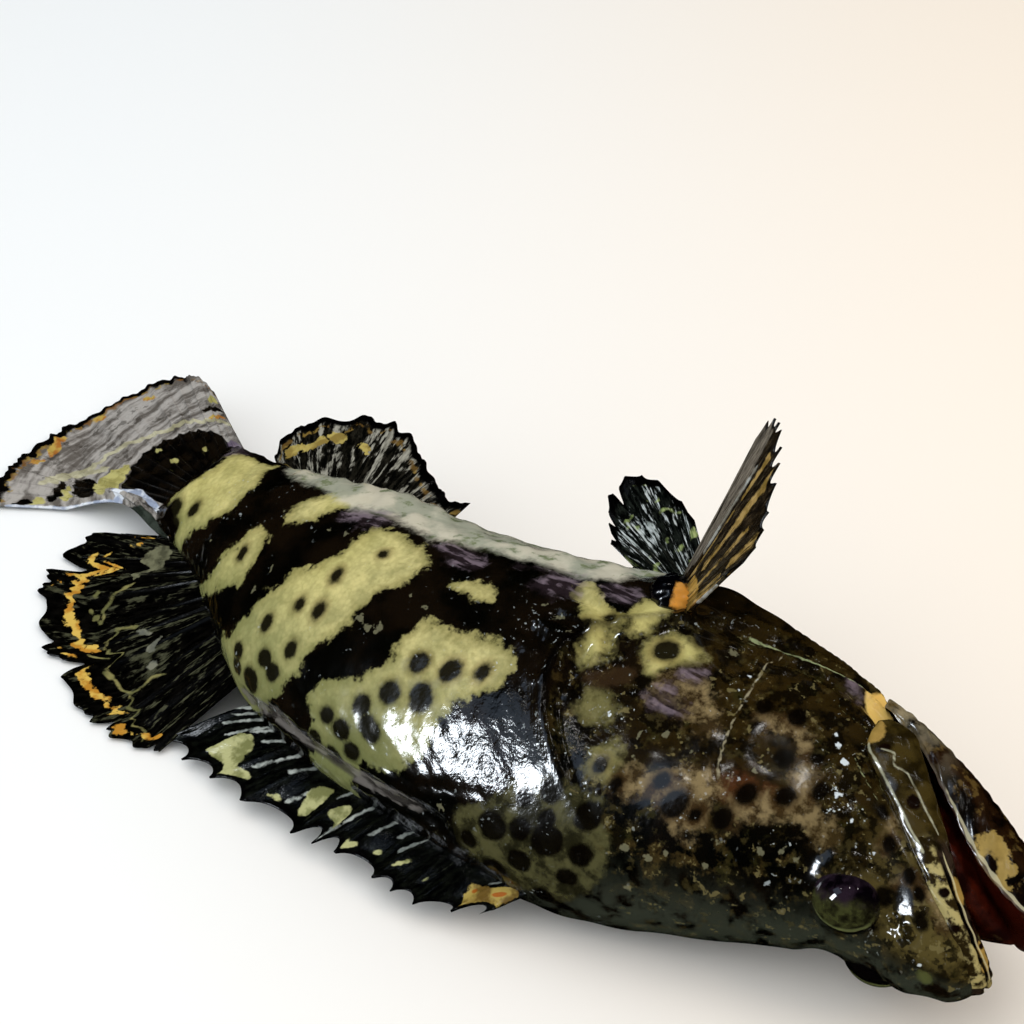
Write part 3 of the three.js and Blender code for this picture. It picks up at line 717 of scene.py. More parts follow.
def jaw_finish():
    wet = Finish("wet_jaw_skin")
    edge = (wet.noise(3, 4, 0.6) - 0.5) * 10
    dark = wet.mix(wet.noise(9, 4).step(0.42, 0.6), (14, 10, 6), (38, 24, 11))
    dark = wet.mix(wet.noise(5, 4, 0.6).step(0.54, 0.64) * 0.7, dark, (92, 74, 38))
    colour = wet.mix((wet.kept("patch") + edge).step(-0.6, 0.6) * 0.9, dark,
                     wet.mix(wet.noise(3), (176, 150, 82), (112, 92, 46)))
    colour = wet.mix((wet.kept("spots") + edge * 0.3).step(-0.4, 0.5), colour, (20, 11, 6))
    rim = wet.mix(wet.noise(4, 3).step(0.4, 0.6), (118, 110, 100), (84, 76, 68))
    colour = wet.mix(wet.kept("lip").step(0.35, 0.75) * 0.65, colour, rim)
    # Painted highlight along the jaw's ridge.
    colour = wet.mix((wet.kept("ridge_highlight") + edge * 0.08).step(0.5, 0.8) * 0.6, colour, (190, 184, 150))
    throat = wet.kept("throat") * wet.noise(6, 4, 0.6).step(0.36, 0.6)
    colour = wet.mix(throat * 0.7, colour, (150, 138, 110))
    colour = wet.mix(wet.kept("floor"), colour, (56, 20, 11))
    height = wet.noise(2.4, 4) * 0.08 + wet.noise(9, 3) * 0.3
    return wet.wear(colour, 0.14 + 0.1 * wet.noise(8), height)


join_fish(jaw, jaw_finish())

# The tongue and the floor of the mouth: a low mound of dark red flesh that fills the gape
# between the jaws.
tongue, tongue_s, tongue_angle = ball("tongue", 64, 60)
tongue_u = 3 + 47 * tongue_s
tongue_swell = np.sin(math.pi * tongue_s) ** 0.5
tongue_d = along([3, 12, 24, 36, 50], [-7, -7.5, -12, -19, -27], tongue_u)
tongue_d += np.cos(tongue_angle) * tongue_swell * along([3, 12, 24, 50], [3, 6, 7, 7], tongue_u)
tongue_l = np.sin(tongue_angle) * tongue_swell * along([3, 12, 24, 50], [5, 9, 13, 15], tongue_u)
set_points(tongue, lay(tongue_u, tongue_d, tongue_l))
face_out(tongue)


def tongue_finish():
    wet = Finish("wet_mouth_flesh")
    colour = wet.mix(wet.noise(5, 4).step(0.4, 0.65), (34, 11, 5), (70, 27, 15))
    return wet.wear(colour, 0.2, wet.noise(2.0, 3) * 0.12)


join_fish(tongue, tongue_finish())

# ---------------------------------------------------------------------------------------
# The upper lip and the jaw bone behind it: one band from the corner of the mouth on one
# side, round the snout, to the other. It is a rod whose sections widen into plates.

LIP_HALF = [(54, -28, 23.5), (44, -20.5, 22.5), (31, -11.5, 19.5), (19, -3, 15.5), (10, 2.5, 10.5),
            (5.5, 4.5, 4.5)]


def curve(points, t):
    """Points at t, from 0 to 1, on the smooth curve through the given ones."""
    points = np.array(points, float)
    spread = np.vstack([2 * points[0] - points[1], points, 2 * points[-1] - points[-2]])
    place = np.clip(t, 0, 1) * (len(points) - 1)
    i = np.minimum(place.astype(int), len(points) - 2)
    w = (place - i)[:, None]
    p0, p1, p2, p3 = (spread[i + k] for k in range(4))
    a, b, c = (np.linalg.norm(high - low, axis=1)[:, None] ** 0.5
               for low, high in ((p0, p1), (p1, p2), (p2, p3)))
    start = ((p1 - p0) / a - (p2 - p0) / (a + b) + (p2 - p1) / b) * b
    end = ((p2 - p1) / b - (p3 - p1) / (b + c) + (p3 - p2) / c) * b
    flat = w * w * (3 - 2 * w)
    return p1 + (p2 - p1) * flat + w * (1 - w) ** 2 * start - w * w * (1 - w) * end


def unit(vectors):
    return vectors / np.linalg.norm(vectors, axis=1)[:, None]


lip, lip_s, lip_angle = ball("upper_lip", 64, 260)
lip_route = LIP_HALF + [(u, d, -l) for u, d, l in reversed(LIP_HALF)]
lip_spot = curve(lip_route, lip_s)
lip_ahead = unit(curve(lip_route, lip_s + 0.004) - curve(lip_route, lip_s - 0.004))
from_end = np.minimum(lip_s, 1 - lip_s) * 2
taper = np.minimum(1, from_end * 1.6)
broad = (7.0 - 3.4 * taper) * np.sqrt(smooth(-0.01, 0.12, from_end))
thick = (2.4 + 0.8 * from_end) * np.sqrt(smooth(-0.005, 0.1, from_end))
facing = np.stack([-from_end, 0 * from_end, (1 - from_end) * np.where(lip_s < 0.5, 1, -1)], 1)
lip_across = unit(np.cross(lip_ahead, facing))
lip_out = unit(np.cross(lip_across, lip_ahead))
rim, face = np.cos(lip_angle), np.sin(lip_angle)
lip_side = np.where(lip_s < 0.5, rim, -rim)
groove = 0.9 * bump(lip_side, -0.1, 0.22) * (face > 0) * smooth(0.4, 0.55, from_end)
lip_places = lip_spot + lip_across * (broad * rim)[:, None]
lip_places += lip_out * ((thick - groove) * face)[:, None]
lip_places += lip_out * (0.35 * ripple(lip_s * 130, lip_angle * 4, 8, 0.8))[:, None]
set_points(lip, lay(*lip_places.T))
face_out(lip)
note(lip, "inner", smooth(-0.1, 0.2, lip_side) * (face > 0))
note(lip, "plate", 1 - smooth(0.38, 0.46, from_end))
# Where the groove runs, for painted shade in it.
note(lip, "groove", bump(lip_side, -0.1, 0.2) * (face > 0) * smooth(0.4, 0.55, from_end))
note(lip, "cream", bump(lip_side, -0.30, 0.09) * (face > 0) * smooth(0.4, 0.5, from_end))
lip_skin = Chart(from_end, lip_side, 78.0, 4.5)
note(lip, "yellow", lip_skin.inside([(0.0, 0.9), (0.08, 1.0), (0.10, 0.4), (0.04, 0.0), (0.0, 0.1)],
                                    [(0.52, -0.9), (0.60, -1.0), (0.62, -0.2), (0.53, -0.1)],
                                    [(0.76, -0.9), (0.90, -0.9), (0.94, 0.0), (0.88, 0.2), (0.78, -0.2)]))
note(lip, "spots", lip_skin.dots([(0.80, -0.6, 1.3), (0.86, -0.1, 1.2), (0.90, -0.7, 1.2), (0.56, 0.5, 1.4),
                                  (0.68, 0.7, 1.2), (0.30, 0.2, 1.5), (0.12, 0.4, 1.3)]))
# Painted highlights: pale squiggles on the lip and its bony plate.
note(lip, "squiggle_highlight", lip_skin.lines(0.28, [(0.12, 0.5), (0.15, 0.1), (0.19, 0.3), (0.22, -0.1),
                                            (0.33, -0.2), (0.40, -0.4)],
                                     [(0.08, 0.9), (0.2, 0.82), (0.35, 0.78), (0.44, 0.7)]))


def lip_finish():
    wet = Finish("wet_lip_skin")
    edge = (wet.noise(2.6, 4, 0.6) - 0.5) * 4
    dark = wet.mix(wet.noise(6, 4).step(0.42, 0.6), (16, 12, 9), (50, 40, 32))
    plate = wet.mix(wet.noise(8, 4).step(0.4, 0.6), (32, 26, 10), (60, 50, 22))
    yellow = wet.mix(wet.noise(3), (178, 146, 78), (122, 98, 48))
    inner = wet.mix(wet.noise(4, 4, 0.6).step(0.45, 0.58), (40, 32, 15), (158, 146, 96))
    colour = wet.mix(wet.kept("inner"), dark, inner)
    colour = wet.mix(wet.kept("plate"), colour, plate)
    colour = wet.mix((wet.kept("yellow") + edge).step(-0.5, 0.5) * 0.9, colour, yellow)
    colour = wet.mix((wet.kept("spots") + edge * 0.4).step(-0.3, 0.4), colour, (22, 13, 7))
    colour = wet.mix((wet.kept("cream") + edge * 0.1).step(0.3, 0.7) * 0.7, colour, (190, 180, 138))
    # Painted squiggle highlights.
    squiggle_highlight = (wet.kept("squiggle_highlight") + edge * 0.12).step(-0.05, 0.25)
    colour = wet.mix(squiggle_highlight * 0.65, colour, (176, 176, 150))
    # Painted shade in the groove along the lip.
    colour = wet.mix(wet.kept("groove").step(0.2, 0.7) * 0.95, colour, (8, 6, 4))
    height = wet.noise(2.4, 4) * 0.08 + wet.noise(7, 3) * 0.25
    return wet.wear(colour, 0.12 + 0.1 * wet.noise(8), height)


join_fish(lip, lip_finish())

# ---------------------------------------------------------------------------------------
# The eyes: clear bulging balls, set low in their sockets. The upper part is dark, and a
# green-gold iris shows under it.

EYES = {"left_eye": (36, 12, 13.5, 1), "right_eye": (31, 11, -13, -1)}
EYE_REACH = (9.0, 8.0, 8.0)


def eye_finish():
    wet = Finish("wet_eye")
    ring = wet.kept("off_axis") + (wet.noise(3, 3) - 0.5) * 0.10
    upper = wet.kept("upper") + (wet.noise(5, 3) - 0.5) * 0.4
    iris = wet.mix(wet.noise(4, 3).step(0.4, 0.62), (26, 25, 17), (58, 60, 36))
    night = wet.mix(wet.noise(5, 3).step(0.42, 0.62), (12, 9, 13), (38, 30, 38))
    colour = wet.mix(upper.step(0.38, 0.60), iris, night)
    colour = wet.mix(ring.step(0.88, 0.98) * (1 - upper.step(0.2, 0.4)) * 0.4, colour, (126, 134, 88))
    colour = wet.mix(ring.step(1.0, 1.08), colour, (14, 12, 12))
    return wet.wear(colour, 0.05, wet.noise(5, 2) * 0.025)


eye_material = eye_finish()
for eye_name, (u, d, l, eye_side) in EYES.items():
    eye, _, _ = ball(eye_name, 72, 48)
    rays = points_of(eye)
    centre = lay(np.array([u]), np.array([d]), np.array([l]))[0]
    set_points(eye, centre + rays * np.array(EYE_REACH) / 1000)
    face_out(eye)
    look = lay(np.array([u]), np.array([d + 2.0]), np.array([l + 9.0 * eye_side]))[0] - centre
    look /= np.linalg.norm(look)
    note(eye, "off_axis", np.arccos(np.clip(rays @ look, -1, 1)) / 1.35)
    note(eye, "upper", 0.5 + 0.5 * (rays @ np.array([-0.20, 0.69, 0.69])))
    join_fish(eye, eye_material)

# ---------------------------------------------------------------------------------------
# The fins: thin webs on rays that stand out as ribs, their margins cut between the ray
# tips. Each starts as a grid that is hung between a root line and a tip line, then gets
# its thickness, more on the rays.

PER_RAY = 14


def fin(name, roots, tips, rays, rows, notch, thick, sharp=1.0, play=0.0, curl=None, sweep=None,
        wave=0.5, fray=0.0, cuts=(), marks=None):
    """A fin; roots and tips are (u, d, l) outlines, and the notch is a share of its reach."""
    bpy.ops.object.select_all(action="DESELECT")
    bpy.ops.mesh.primitive_grid_add(x_subdivisions=(rays - 1) * PER_RAY, y_subdivisions=rows, size=1)
    piece = bpy.context.object
    piece.name = name
    flat = points_of(piece)
    t, s = flat[:, 0] + 0.5, flat[:, 1] + 0.5
    ray = t * (rays - 1)
    ray = ray + play * np.sin(2.1 * ray) * np.sin(math.pi * t)
    gap = np.abs(np.sin(math.pi * ray))
    tooth = 0.5 + 0.5 * np.sin(ray * 12.7 + 3 * np.sin(t * 31))
    reach = 1 - notch * gap ** sharp * (1 + 0.35 * np.sin(5.3 * np.floor(ray) + 1)) - fray * tooth
    for place, half, depth in cuts:
        reach = reach * (1 - depth * np.maximum(0, 1 - np.abs(t - place) / half))
    root, tip = curve(roots, t), curve(tips, t)
    p = root + (tip - root) * (s * reach)[:, None]
    swell = wave * s * np.sin(math.pi * ray) * np.sin(0.9 * ray + 1)
    p[:, 2] += swell + (curl(t, s) if curl else 0)
    p[:, 1] -= sweep(t, s) if sweep else 0
    laid = lay(*p.T)
    rib = (1 - gap) ** 2
    laid[:, 2] = np.maximum(laid[:, 2], (0.5 + thick / 2) / 1000)
    set_points(piece, laid)
    length = np.linalg.norm(tip - root, axis=1)
    note(piece, "ray", ray)
    note(piece, "reach", s * reach * length)
    note(piece, "rim", (1 - s) * reach * length)
    note(piece, "rib", rib)
    steps = np.linspace(0, 1, 80)
    middle = curve(roots, steps) * 0.4 + curve(tips, steps) * 0.6
    chart = Chart(t, s, np.linalg.norm(np.diff(middle, axis=0), axis=1).sum(), length)
    for mark, shape in (marks or {}).items():
        note(piece, mark, shape(chart))
    group = piece.vertex_groups.new(name="thickness")
    heavy = (0.5 + 0.4 * rib * smooth(0, 0.04, t)) * (1 - 0.7 * s)
    for index, weight in enumerate(heavy):
        group.add([index], float(weight), "REPLACE")
    body = piece.modifiers.new("thickness", "SOLIDIFY")
    body.thickness = thick * 1.3 / 1000
    body.offset = 0
    body.vertex_group = "thickness"
    bpy.ops.object.modifier_apply(modifier=body.name)
    face_out(piece)
    return piece


class Web(Finish):
    """A fin's web under construction: what its rays, its reach and its rim give."""

    def __init__(self, name):
        super().__init__(name)
        self.ray, self.reach, self.rim = (self.kept(part) for part in ("ray", "reach", "rim"))
        self.fine = self.noise(1.0, 3, 0.6, self.strand(7.0, 0.22))
        self.long = self.noise(1.0, 4, 0.6, self.strand(2.2, 0.06))
        self.ragged = (self.noise(4, 3) - 0.5) * 3 + (self.noise(1.3, 2) - 0.5) * 1.2
        self.near = self.rim + (self.noise(7, 3) - 0.5) * 6

    def strand(self, across, ahead):
        """A place that is stretched along the rays."""
        return self.node("CombineXYZ", {}, {0: self.ray * across, 1: self.reach * ahead, 2: 0.0})

    def ground(self, deep, light):
        return self.mix(self.fine.step(0.4, 0.7), deep, light)

    def streaks(self, under, share, deep, light, strength=0.9):
        """Light streaks that run out along the rays."""
        mask = (self.long + (self.fine - 0.5) * 0.4).step(1.0 - share - 0.02, 1.0 - share + 0.08)
        return self.mix(mask * strength, under, self.mix(self.fine.step(0.35, 0.65), deep, light))

    def dark_rim(self, under, width):
        return self.mix(1 - self.near.step(width - 1.2, width + 0.4), under, (8, 7, 7))

    def patch(self, under, mark, deep, light, ragged=1.0, strength=1.0):
        """Colours a marked shape, given in mm inside it, with a ragged edge."""
        mask = (self.kept(mark) + self.ragged * ragged).step(-0.35, 0.35)
        tone = self.mix(self.noise(5, 3).step(0.4, 0.6), deep, light)
        return self.mix(mask * strength, under, tone)

    def band(self, under, start, width, share, deep, light, strength=0.95):
        """A broken bright line that keeps its distance from the rim."""
        past = self.near - start
        line = past.step(0.0, 0.9) * (1 - (past - width).step(0.0, 1.0))
        broken = (self.noise(4.2, 3) + (self.fine - 0.5) * 0.2).step(0.98 - share, 1.05 - share)
        bright = self.mix(self.noise(7).step(0.4, 0.6), deep, light)
        return self.mix(line * broken * strength, under, bright)

    def finish(self, colour, gloss=0.12, wrinkle=0.1, shine=0.5):
        height = self.kept("rib") * 0.25 + self.fine * wrinkle + self.noise(1.4, 3) * 0.4 * wrinkle
        return self.wear(colour, gloss + 0.12 * self.noise(6), height, shine)


# Spiny dorsal: eleven stiff spines, the web cut in arcs between their points; black and wet, with olive
# panes in the web, a yellow patch round the first spine, and painted highlight streaks along the spines.
SPINY_PANES = [
    [(0.912, 0.53), (0.907, 0.35), (0.867, 0.44), (0.832, 0.71), (0.77, 0.86), (0.80, 0.97), (0.84, 0.85),
     (0.862, 0.9), (0.9, 0.82), (0.905, 0.7)],
    [(0.692, 0.57), (0.677, 0.38), (0.644, 0.35), (0.634, 0.6), (0.642, 0.88), (0.664, 0.9), (0.677, 0.7)],
    [(0.607, 0.62), (0.584, 0.48), (0.551, 0.5), (0.536, 0.65), (0.566, 0.85)],
    [(0.737, 0.84), (0.714, 0.77), (0.704, 0.96)],
    [(0.495, 0.9), (0.474, 0.72), (0.455, 0.9)],
    [(0.416, 0.89), (0.38, 0.8), (0.41, 0.7)],
    [(0.341, 0.74), (0.328, 0.8), (0.308, 0.68), (0.32, 0.6)],
    [(0.245, 0.8), (0.23, 0.75), (0.24, 0.68)],
]
SPINY_YELLOW = [(0.153, 0.51), (0.115, 0.51), (0.073, 0.4), (0.02, 0.36), (0.0, 0.57), (0.003, 0.81),
                (0.048, 0.96), (0.08, 0.85), (0.12, 0.82), (0.123, 0.65)]
# Painted highlight streaks along the spines.
SPINY_PAINTED_HIGHLIGHTS = [
    [(0.97, 0.5), (0.93, 0.15)], [(0.90, 0.35), (0.87, 0.05)], [(0.86, 0.4), (0.83, 0.1)],
    [(1.0, 0.25), (0.97, 0.0)], [(0.75, 0.45), (0.72, 0.1)], [(0.40, 0.45), (0.38, 0.1)],
    [(0.985, 0.35), (0.95, 0.1)], [(0.93, 0.6), (0.90, 0.2)], [(0.80, 0.7), (0.78, 0.2)],
    [(0.70, 0.85), (0.68, 0.5)], [(0.62, 0.4), (0.60, 0.1)], [(0.55, 0.9), (0.53, 0.3)],
    [(0.46, 0.6), (0.44, 0.2)], [(0.36, 0.6), (0.33, 0.15)], [(0.10, 0.4), (0.06, 0.1)],
]
spiny = fin("spiny_dorsal_fin",
            [(108, 48, 0), (142, 49, 0), (174, 48, 0), (212, 44, 0)],
            [(120, 63, 1), (134, 70, 2), (150, 70.5, 2), (166, 71, 2), (183, 73.5, 2), (211, 71.5, 1),
             (232, 72, 0)],
            12, 40, 0.2, 2.0, sharp=0.55, play=0.26, wave=0.7,
            curl=lambda t, s: 1.2 * np.sin(math.pi * np.minimum(s * 1.2, 1)),
            marks={"olive": lambda on: on.inside(*SPINY_PANES),
                   "yellow": lambda on: on.inside(SPINY_YELLOW),
                   "orange": lambda on: on.dots([(0.048, 0.62, 1.6), (0.11, 0.62, 1.0)]),
                   "shine": lambda on: on.lines(0.5, *SPINY_PAINTED_HIGHLIGHTS)})


def spiny_finish():
    web = Web("wet_spiny_web")
    colour = web.ground((6, 7, 7), (20, 22, 18))
    colour = web.streaks(colour, 0.34, (44, 46, 40), (74, 78, 62), 0.5)
    # Painted highlight streaks along the spines.
    colour = web.patch(colour, "shine", (120, 126, 122), (176, 182, 176), 0.8, 0.8)
    colour = web.dark_rim(colour, 1.6)
    colour = web.patch(colour, "olive", (112, 114, 72), (166, 166, 118), 1.0)
    colour = web.patch(colour, "yellow", (158, 138, 72), (98, 78, 38), 1.4)
    colour = web.patch(colour, "orange", (150, 86, 32), (110, 64, 26), 0.5)
    return web.finish(colour, 0.12, 0.25, 0.22)


join_fish(spiny, spiny_finish())

# Soft dorsal: a rounded black flag with a golden broken line inside its cut margin, and a
# fine green line further in.
SOFT_GOLD = [
    [(0.722, 0.81), (0.694, 0.8), (0.66, 0.88), (0.642, 0.77), (0.617, 0.83), (0.596, 0.81), (0.569, 0.84),
     (0.539, 0.87), (0.519, 0.86), (0.496, 0.81), (0.474, 0.82), (0.451, 0.84), (0.421, 0.8),
     (0.424, 0.72)],
    [(0.353, 0.89), (0.341, 0.87), (0.328, 0.91), (0.311, 0.89), (0.278, 0.84), (0.248, 0.86),
     (0.221, 0.84)],
    [(0.17, 0.93), (0.145, 0.93)], [(0.10, 0.88), (0.06, 0.84)],
]
SOFT_GOLD_SPOTS = [(0.669, 0.79, 1.4), (0.659, 0.74, 1.2), (0.682, 0.69, 1.3), (0.729, 0.71, 1.2),
                   (0.789, 0.52, 1.3), (0.774, 0.58, 1.1), (0.612, 0.94, 0.8), (0.411, 0.92, 1.0),
                   (0.85, 0.7, 1.3), (0.88, 0.62, 1.0), (0.16, 0.93, 1.3)]
SOFT_OLIVE_SPOTS = [(0.589, 0.67, 0.9), (0.539, 0.74, 0.8), (0.519, 0.70, 1.1), (0.499, 0.66, 1.0),
                    (0.393, 0.83, 1.1), (0.336, 0.75, 1.4)]
SOFT_VEINS = [
    [(0.607, 0.47), (0.589, 0.54), (0.569, 0.6), (0.536, 0.67), (0.511, 0.65), (0.491, 0.67)],
    [(0.449, 0.5), (0.461, 0.6), (0.439, 0.63), (0.396, 0.73), (0.366, 0.72), (0.336, 0.75), (0.298, 0.71),
     (0.258, 0.69), (0.231, 0.73), (0.193, 0.81), (0.135, 0.83), (0.083, 0.92)],
    [(0.258, 0.69), (0.253, 0.63), (0.266, 0.53), (0.248, 0.46)],
]
soft = fin("soft_dorsal_fin",
           [(224, 41, 0), (246, 30, 0), (266, 20, 0), (285, 14, 0)],
           [(228, 74, 0), (236, 79, 0), (247, 81, 0), (261, 80.5, 0), (279, 76, 0), (295, 69, 0),
            (309, 59, 0), (318, 46, 0), (318, 34, 0), (307, 27, 0), (293, 25, 0)],
           15, 80, 0.05, 2.0, sharp=3.0, play=0.2, wave=0.8, fray=0.03,
           cuts=[(0.38, 0.022, 0.20), (0.67, 0.025, 0.22), (0.85, 0.025, 0.34), (0.20, 0.015, 0.10)],
           marks={"gold": lambda on: np.maximum(on.lines(1.35, *SOFT_GOLD), on.dots(SOFT_GOLD_SPOTS)),
                  "olive": lambda on: np.maximum(on.lines(0.42, *SOFT_VEINS), on.dots(SOFT_OLIVE_SPOTS)),
                  "pale": lambda on: on.inside([(0.769, 0.43), (0.817, 0.26), (0.719, 0.23), (0.657, 0.41),
                                                (0.607, 0.47), (0.689, 0.45)]),
                  "blob": lambda on: on.dots([(0.421, 0.45, 1.5), (0.363, 0.45, 1.8), (0.306, 0.49, 1.6)])})


def soft_finish():
    web = Web("wet_soft_dorsal_web")
    colour = web.ground((7, 7, 6), (18, 17, 15))
    colour = web.streaks(colour, 0.44, (40, 41, 30), (84, 85, 66), 0.65)
    colour = web.patch(colour, "pale", (122, 122, 96), (84, 84, 66), 1.6, 0.7)
    colour = web.patch(colour, "blob", (96, 98, 88), (124, 124, 108), 1.0, 0.8)
    colour = web.patch(colour, "olive", (104, 104, 66), (138, 132, 84), 0.5, 0.8)
    colour = web.patch(colour, "gold", (200, 168, 82), (172, 122, 46), 1.7)
    return web.finish(colour, 0.14, 0.12, 0.12)


join_fish(soft, soft_finish())

# Tail: a rounded fan of silky grey with black and olive bars at its root and a gold line inside its dark
# rim; its back edge is bowed in and turned up, with a painted highlight along it and painted shade under the
# roll.
TAIL_BLACK = [
    [(0.356, 0.4), (0.419, 0.45), (0.541, 0.45), (0.662, 0.43), (0.847, 0.37), (0.905, 0.23), (0.95, -0.1),
     (0.2, -0.1), (0.251, 0.21), (0.298, 0.3), (0.246, 0.4)],
    [(0.188, 0.7), (0.268, 0.68), (0.298, 0.56), (0.11, 0.56), (0.018, 0.63), (0.043, 0.7)],
    [(0.035, 0.82), (0.195, 0.75), (0.17, 0.73), (0.043, 0.77)],
    [(0, 0.92), (0.04, 0.91), (0.05, 0.86), (0, 0.86)],
    [(0.825, 0.6), (1, 0.71), (1, 0.65), (0.827, 0.55)],
]
TAIL_OLIVE = [
    [(0.301, 0.55), (0.356, 0.52), (0.421, 0.45), (0.376, 0.42), (0.261, 0.4), (0.043, 0.53), (0.018, 0.62)],
    [(0.055, 0.77), (0.17, 0.73), (0.155, 0.71), (0.038, 0.72)],
    [(0, 0.86), (0.048, 0.85), (0.058, 0.82), (0.025, 0.82)],
    [(0.87, 0.67), (0.922, 0.82), (1, 0.87), (0.99, 0.77)],
]
TAIL_CREAM = [
    [(0.145, 0.84), (0.303, 0.69), (0.356, 0.64), (0.454, 0.62), (0.519, 0.56), (0.647, 0.51), (0.712, 0.52),
     (0.794, 0.48), (1, 0.48)],
    [(0.17, 0.79), (0.288, 0.68), (0.353, 0.56)],
]
TAIL_GOLD = [
    [(0.614, 0.95), (0.669, 0.84), (0.642, 0.84), (0.612, 0.91)],
    [(0.476, 0.95), (0.496, 0.97), (0.516, 0.93), (0.489, 0.89)],
    [(0.283, 0.91), (0.318, 0.95), (0.366, 0.97), (0.391, 0.95), (0.338, 0.9), (0.291, 0.87)],
    [(0.211, 0.94), (0.236, 0.94), (0.261, 0.91), (0.231, 0.89)],
    [(0.835, 0.48), (0.877, 0.53), (1, 0.59), (0.992, 0.54)],
]
# Painted highlights: a broad one along the crest of the turned-up edge and a thin one along the edge.
TAIL_PAINTED_HIGHLIGHT = [(0.013, 0.48), (0.13, 0.42), (0.248, 0.37), (0.278, 0.27), (0.208, 0.17), (0.16, 0.11),
              (0.125, 0.06)]
TAIL_EDGE_HIGHLIGHT = [(0.0, 0.92), (0.0, 0.7), (0.0, 0.5), (0.02, 0.46)]
# Painted shade on the underside of the turned-up edge.
TAIL_ROLL_SHADE = [(-0.02, 0.45), (0.015, 0.36), (0.1, 0.19), (0.06, 0.09), (-0.02, 0.01)]


def tail_curl(t, s):
    crest = 3.5 * bump(t, 0.08, 0.1) * bump(s, 0.42, 0.36)
    return crest + 1.5 * s * (1 - smooth(0, 0.2, t))


def tail_sweep(t, s):
    return 18 * bump(s, 0.56, 0.56) * (1 - smooth(0, 0.32, t))


tail = fin("tail_fin",
           [(285, 18.5, 1), (296, 9, 0), (298, 0, 0), (297, -8, 0), (292, -17, 0)],
           [(354, 58, 0), (362, 49, 0), (369.5, 35, 0), (374, 22, 0), (376.5, 8, 0), (373, -7, 0),
            (367, -20, 0), (359, -28, 0), (349, -31.5, 0), (336, -30, 0)],
           18, 100, 0.018, 2.2, sharp=2.0, play=0.15, wave=0.5, fray=0.01, curl=tail_curl,
           sweep=tail_sweep,
           marks={"black": lambda on: on.inside(*TAIL_BLACK),
                  "olive": lambda on: on.inside(*TAIL_OLIVE),
                  "dots": lambda on: on.dots([(0.531, 0.4, 1.2), (0.541, 0.26, 1.9), (0.734, 0.22, 1.6)]),
                  "cream": lambda on: on.lines(1.15, *TAIL_CREAM),
                  "gold": lambda on: on.inside(*TAIL_GOLD),
                  "shine": lambda on: np.maximum(on.lines(2.4, TAIL_PAINTED_HIGHLIGHT), on.lines(0.8, TAIL_EDGE_HIGHLIGHT)),
                  "under": lambda on: on.inside(TAIL_ROLL_SHADE),
                  "lilac": lambda on: on.inside([(0.9, 0.23), (0.985, 0.23), (1.0, 0.09), (0.9, 0.13)]),
                  "bare": lambda on: on.wash((0.9, 1.0, 9, 14, 1.0))})


def tail_finish():
    web = Web("wet_tail_web")
    rings = web.node("CombineXYZ", {}, {0: web.ray * 0.25, 1: web.reach * 0.24, 2: 0.0})
    silk = web.noise(1.0, 3, 0.55, rings) + (web.noise(2, 3) - 0.5) * 0.25
    colour = web.mix(silk.step(0.36, 0.62), (92, 87, 82), (160, 156, 151))
    colour = web.mix(web.noise(5, 4, 0.6).step(0.56, 0.64) * 0.6, colour, (50, 45, 38))
    colour = web.patch(colour, "cream", (186, 182, 152), (150, 146, 116), 0.6, 0.85)
    colour = web.patch(colour, "black", (11, 9, 6), (24, 19, 12), 0.7)
    colour = web.patch(colour, "olive", (176, 170, 108), (148, 142, 84), 0.7)
    colour = web.patch(colour, "dots", (160, 156, 98), (140, 134, 80), 0.4)
    rim = (1 - web.near.step(2.4, 4.2)) * (1 - web.kept("bare").step(0.3, 0.6))
    colour = web.mix(rim, colour, (14, 12, 10))
    colour = web.band(colour, 2.0, 1.8, 0.50, (150, 128, 62), (112, 78, 38), 0.8)
    colour = web.patch(colour, "gold", (176, 150, 74), (154, 98, 42), 1.0)
    colour = web.patch(colour, "lilac", (96, 84, 104), (124, 112, 128), 1.0, 0.8)
    # Painted shade under the turned-up edge.
    colour = web.patch(colour, "under", (40, 46, 40), (54, 60, 54), 0.5)
    # Painted highlight along the turned-up back edge.
    colour = web.patch(colour, "shine", (226, 232, 240), (150, 162, 186), 0.5, 0.95)
    return web.finish(colour, 0.2, 0.06)


join_fish(tail, tail_finish())

# Anal: a rounded lobe with a thick black rim and a broken gold line inside it. Light
# stripes run out on the rays.
ANAL_GOLD = [
    [(0.907, 0.64), (0.865, 0.75), (0.82, 0.7), (0.774, 0.64), (0.747, 0.69), (0.719, 0.72), (0.709, 0.65),
     (0.747, 0.56), (0.799, 0.59), (0.852, 0.55), (0.907, 0.52)],
    [(0.719, 0.72), (0.702, 0.82), (0.669, 0.83), (0.654, 0.7), (0.677, 0.68), (0.712, 0.69)],
    [(0.619, 0.62), (0.594, 0.7), (0.569, 0.65), (0.561, 0.55), (0.591, 0.58)],
]
anal = fin("anal_fin",
           [(208, -27, 0), (230, -25, 0), (253, -21, 0), (273, -17, 0)],
           [(206, -40, 0), (212, -38, 0), (219, -40, 0), (229, -44, 0), (242, -50.5, 0), (256, -52.5, 0),
            (273, -47.5, 0), (285, -38, 0), (288.5, -29, 0), (284, -22, 0)],
           12, 50, 0.06, 2.0, sharp=1.6, play=0.12, wave=0.7, fray=0.02,
           marks={"gold": lambda on: on.inside(*ANAL_GOLD),
                  "base": lambda on: on.inside([(0.95, 0.22), (0.7, 0.12), (0.5, 0.1), (0.3, 0.15),
                                                (0.2, -0.1), (0.95, -0.1)])})


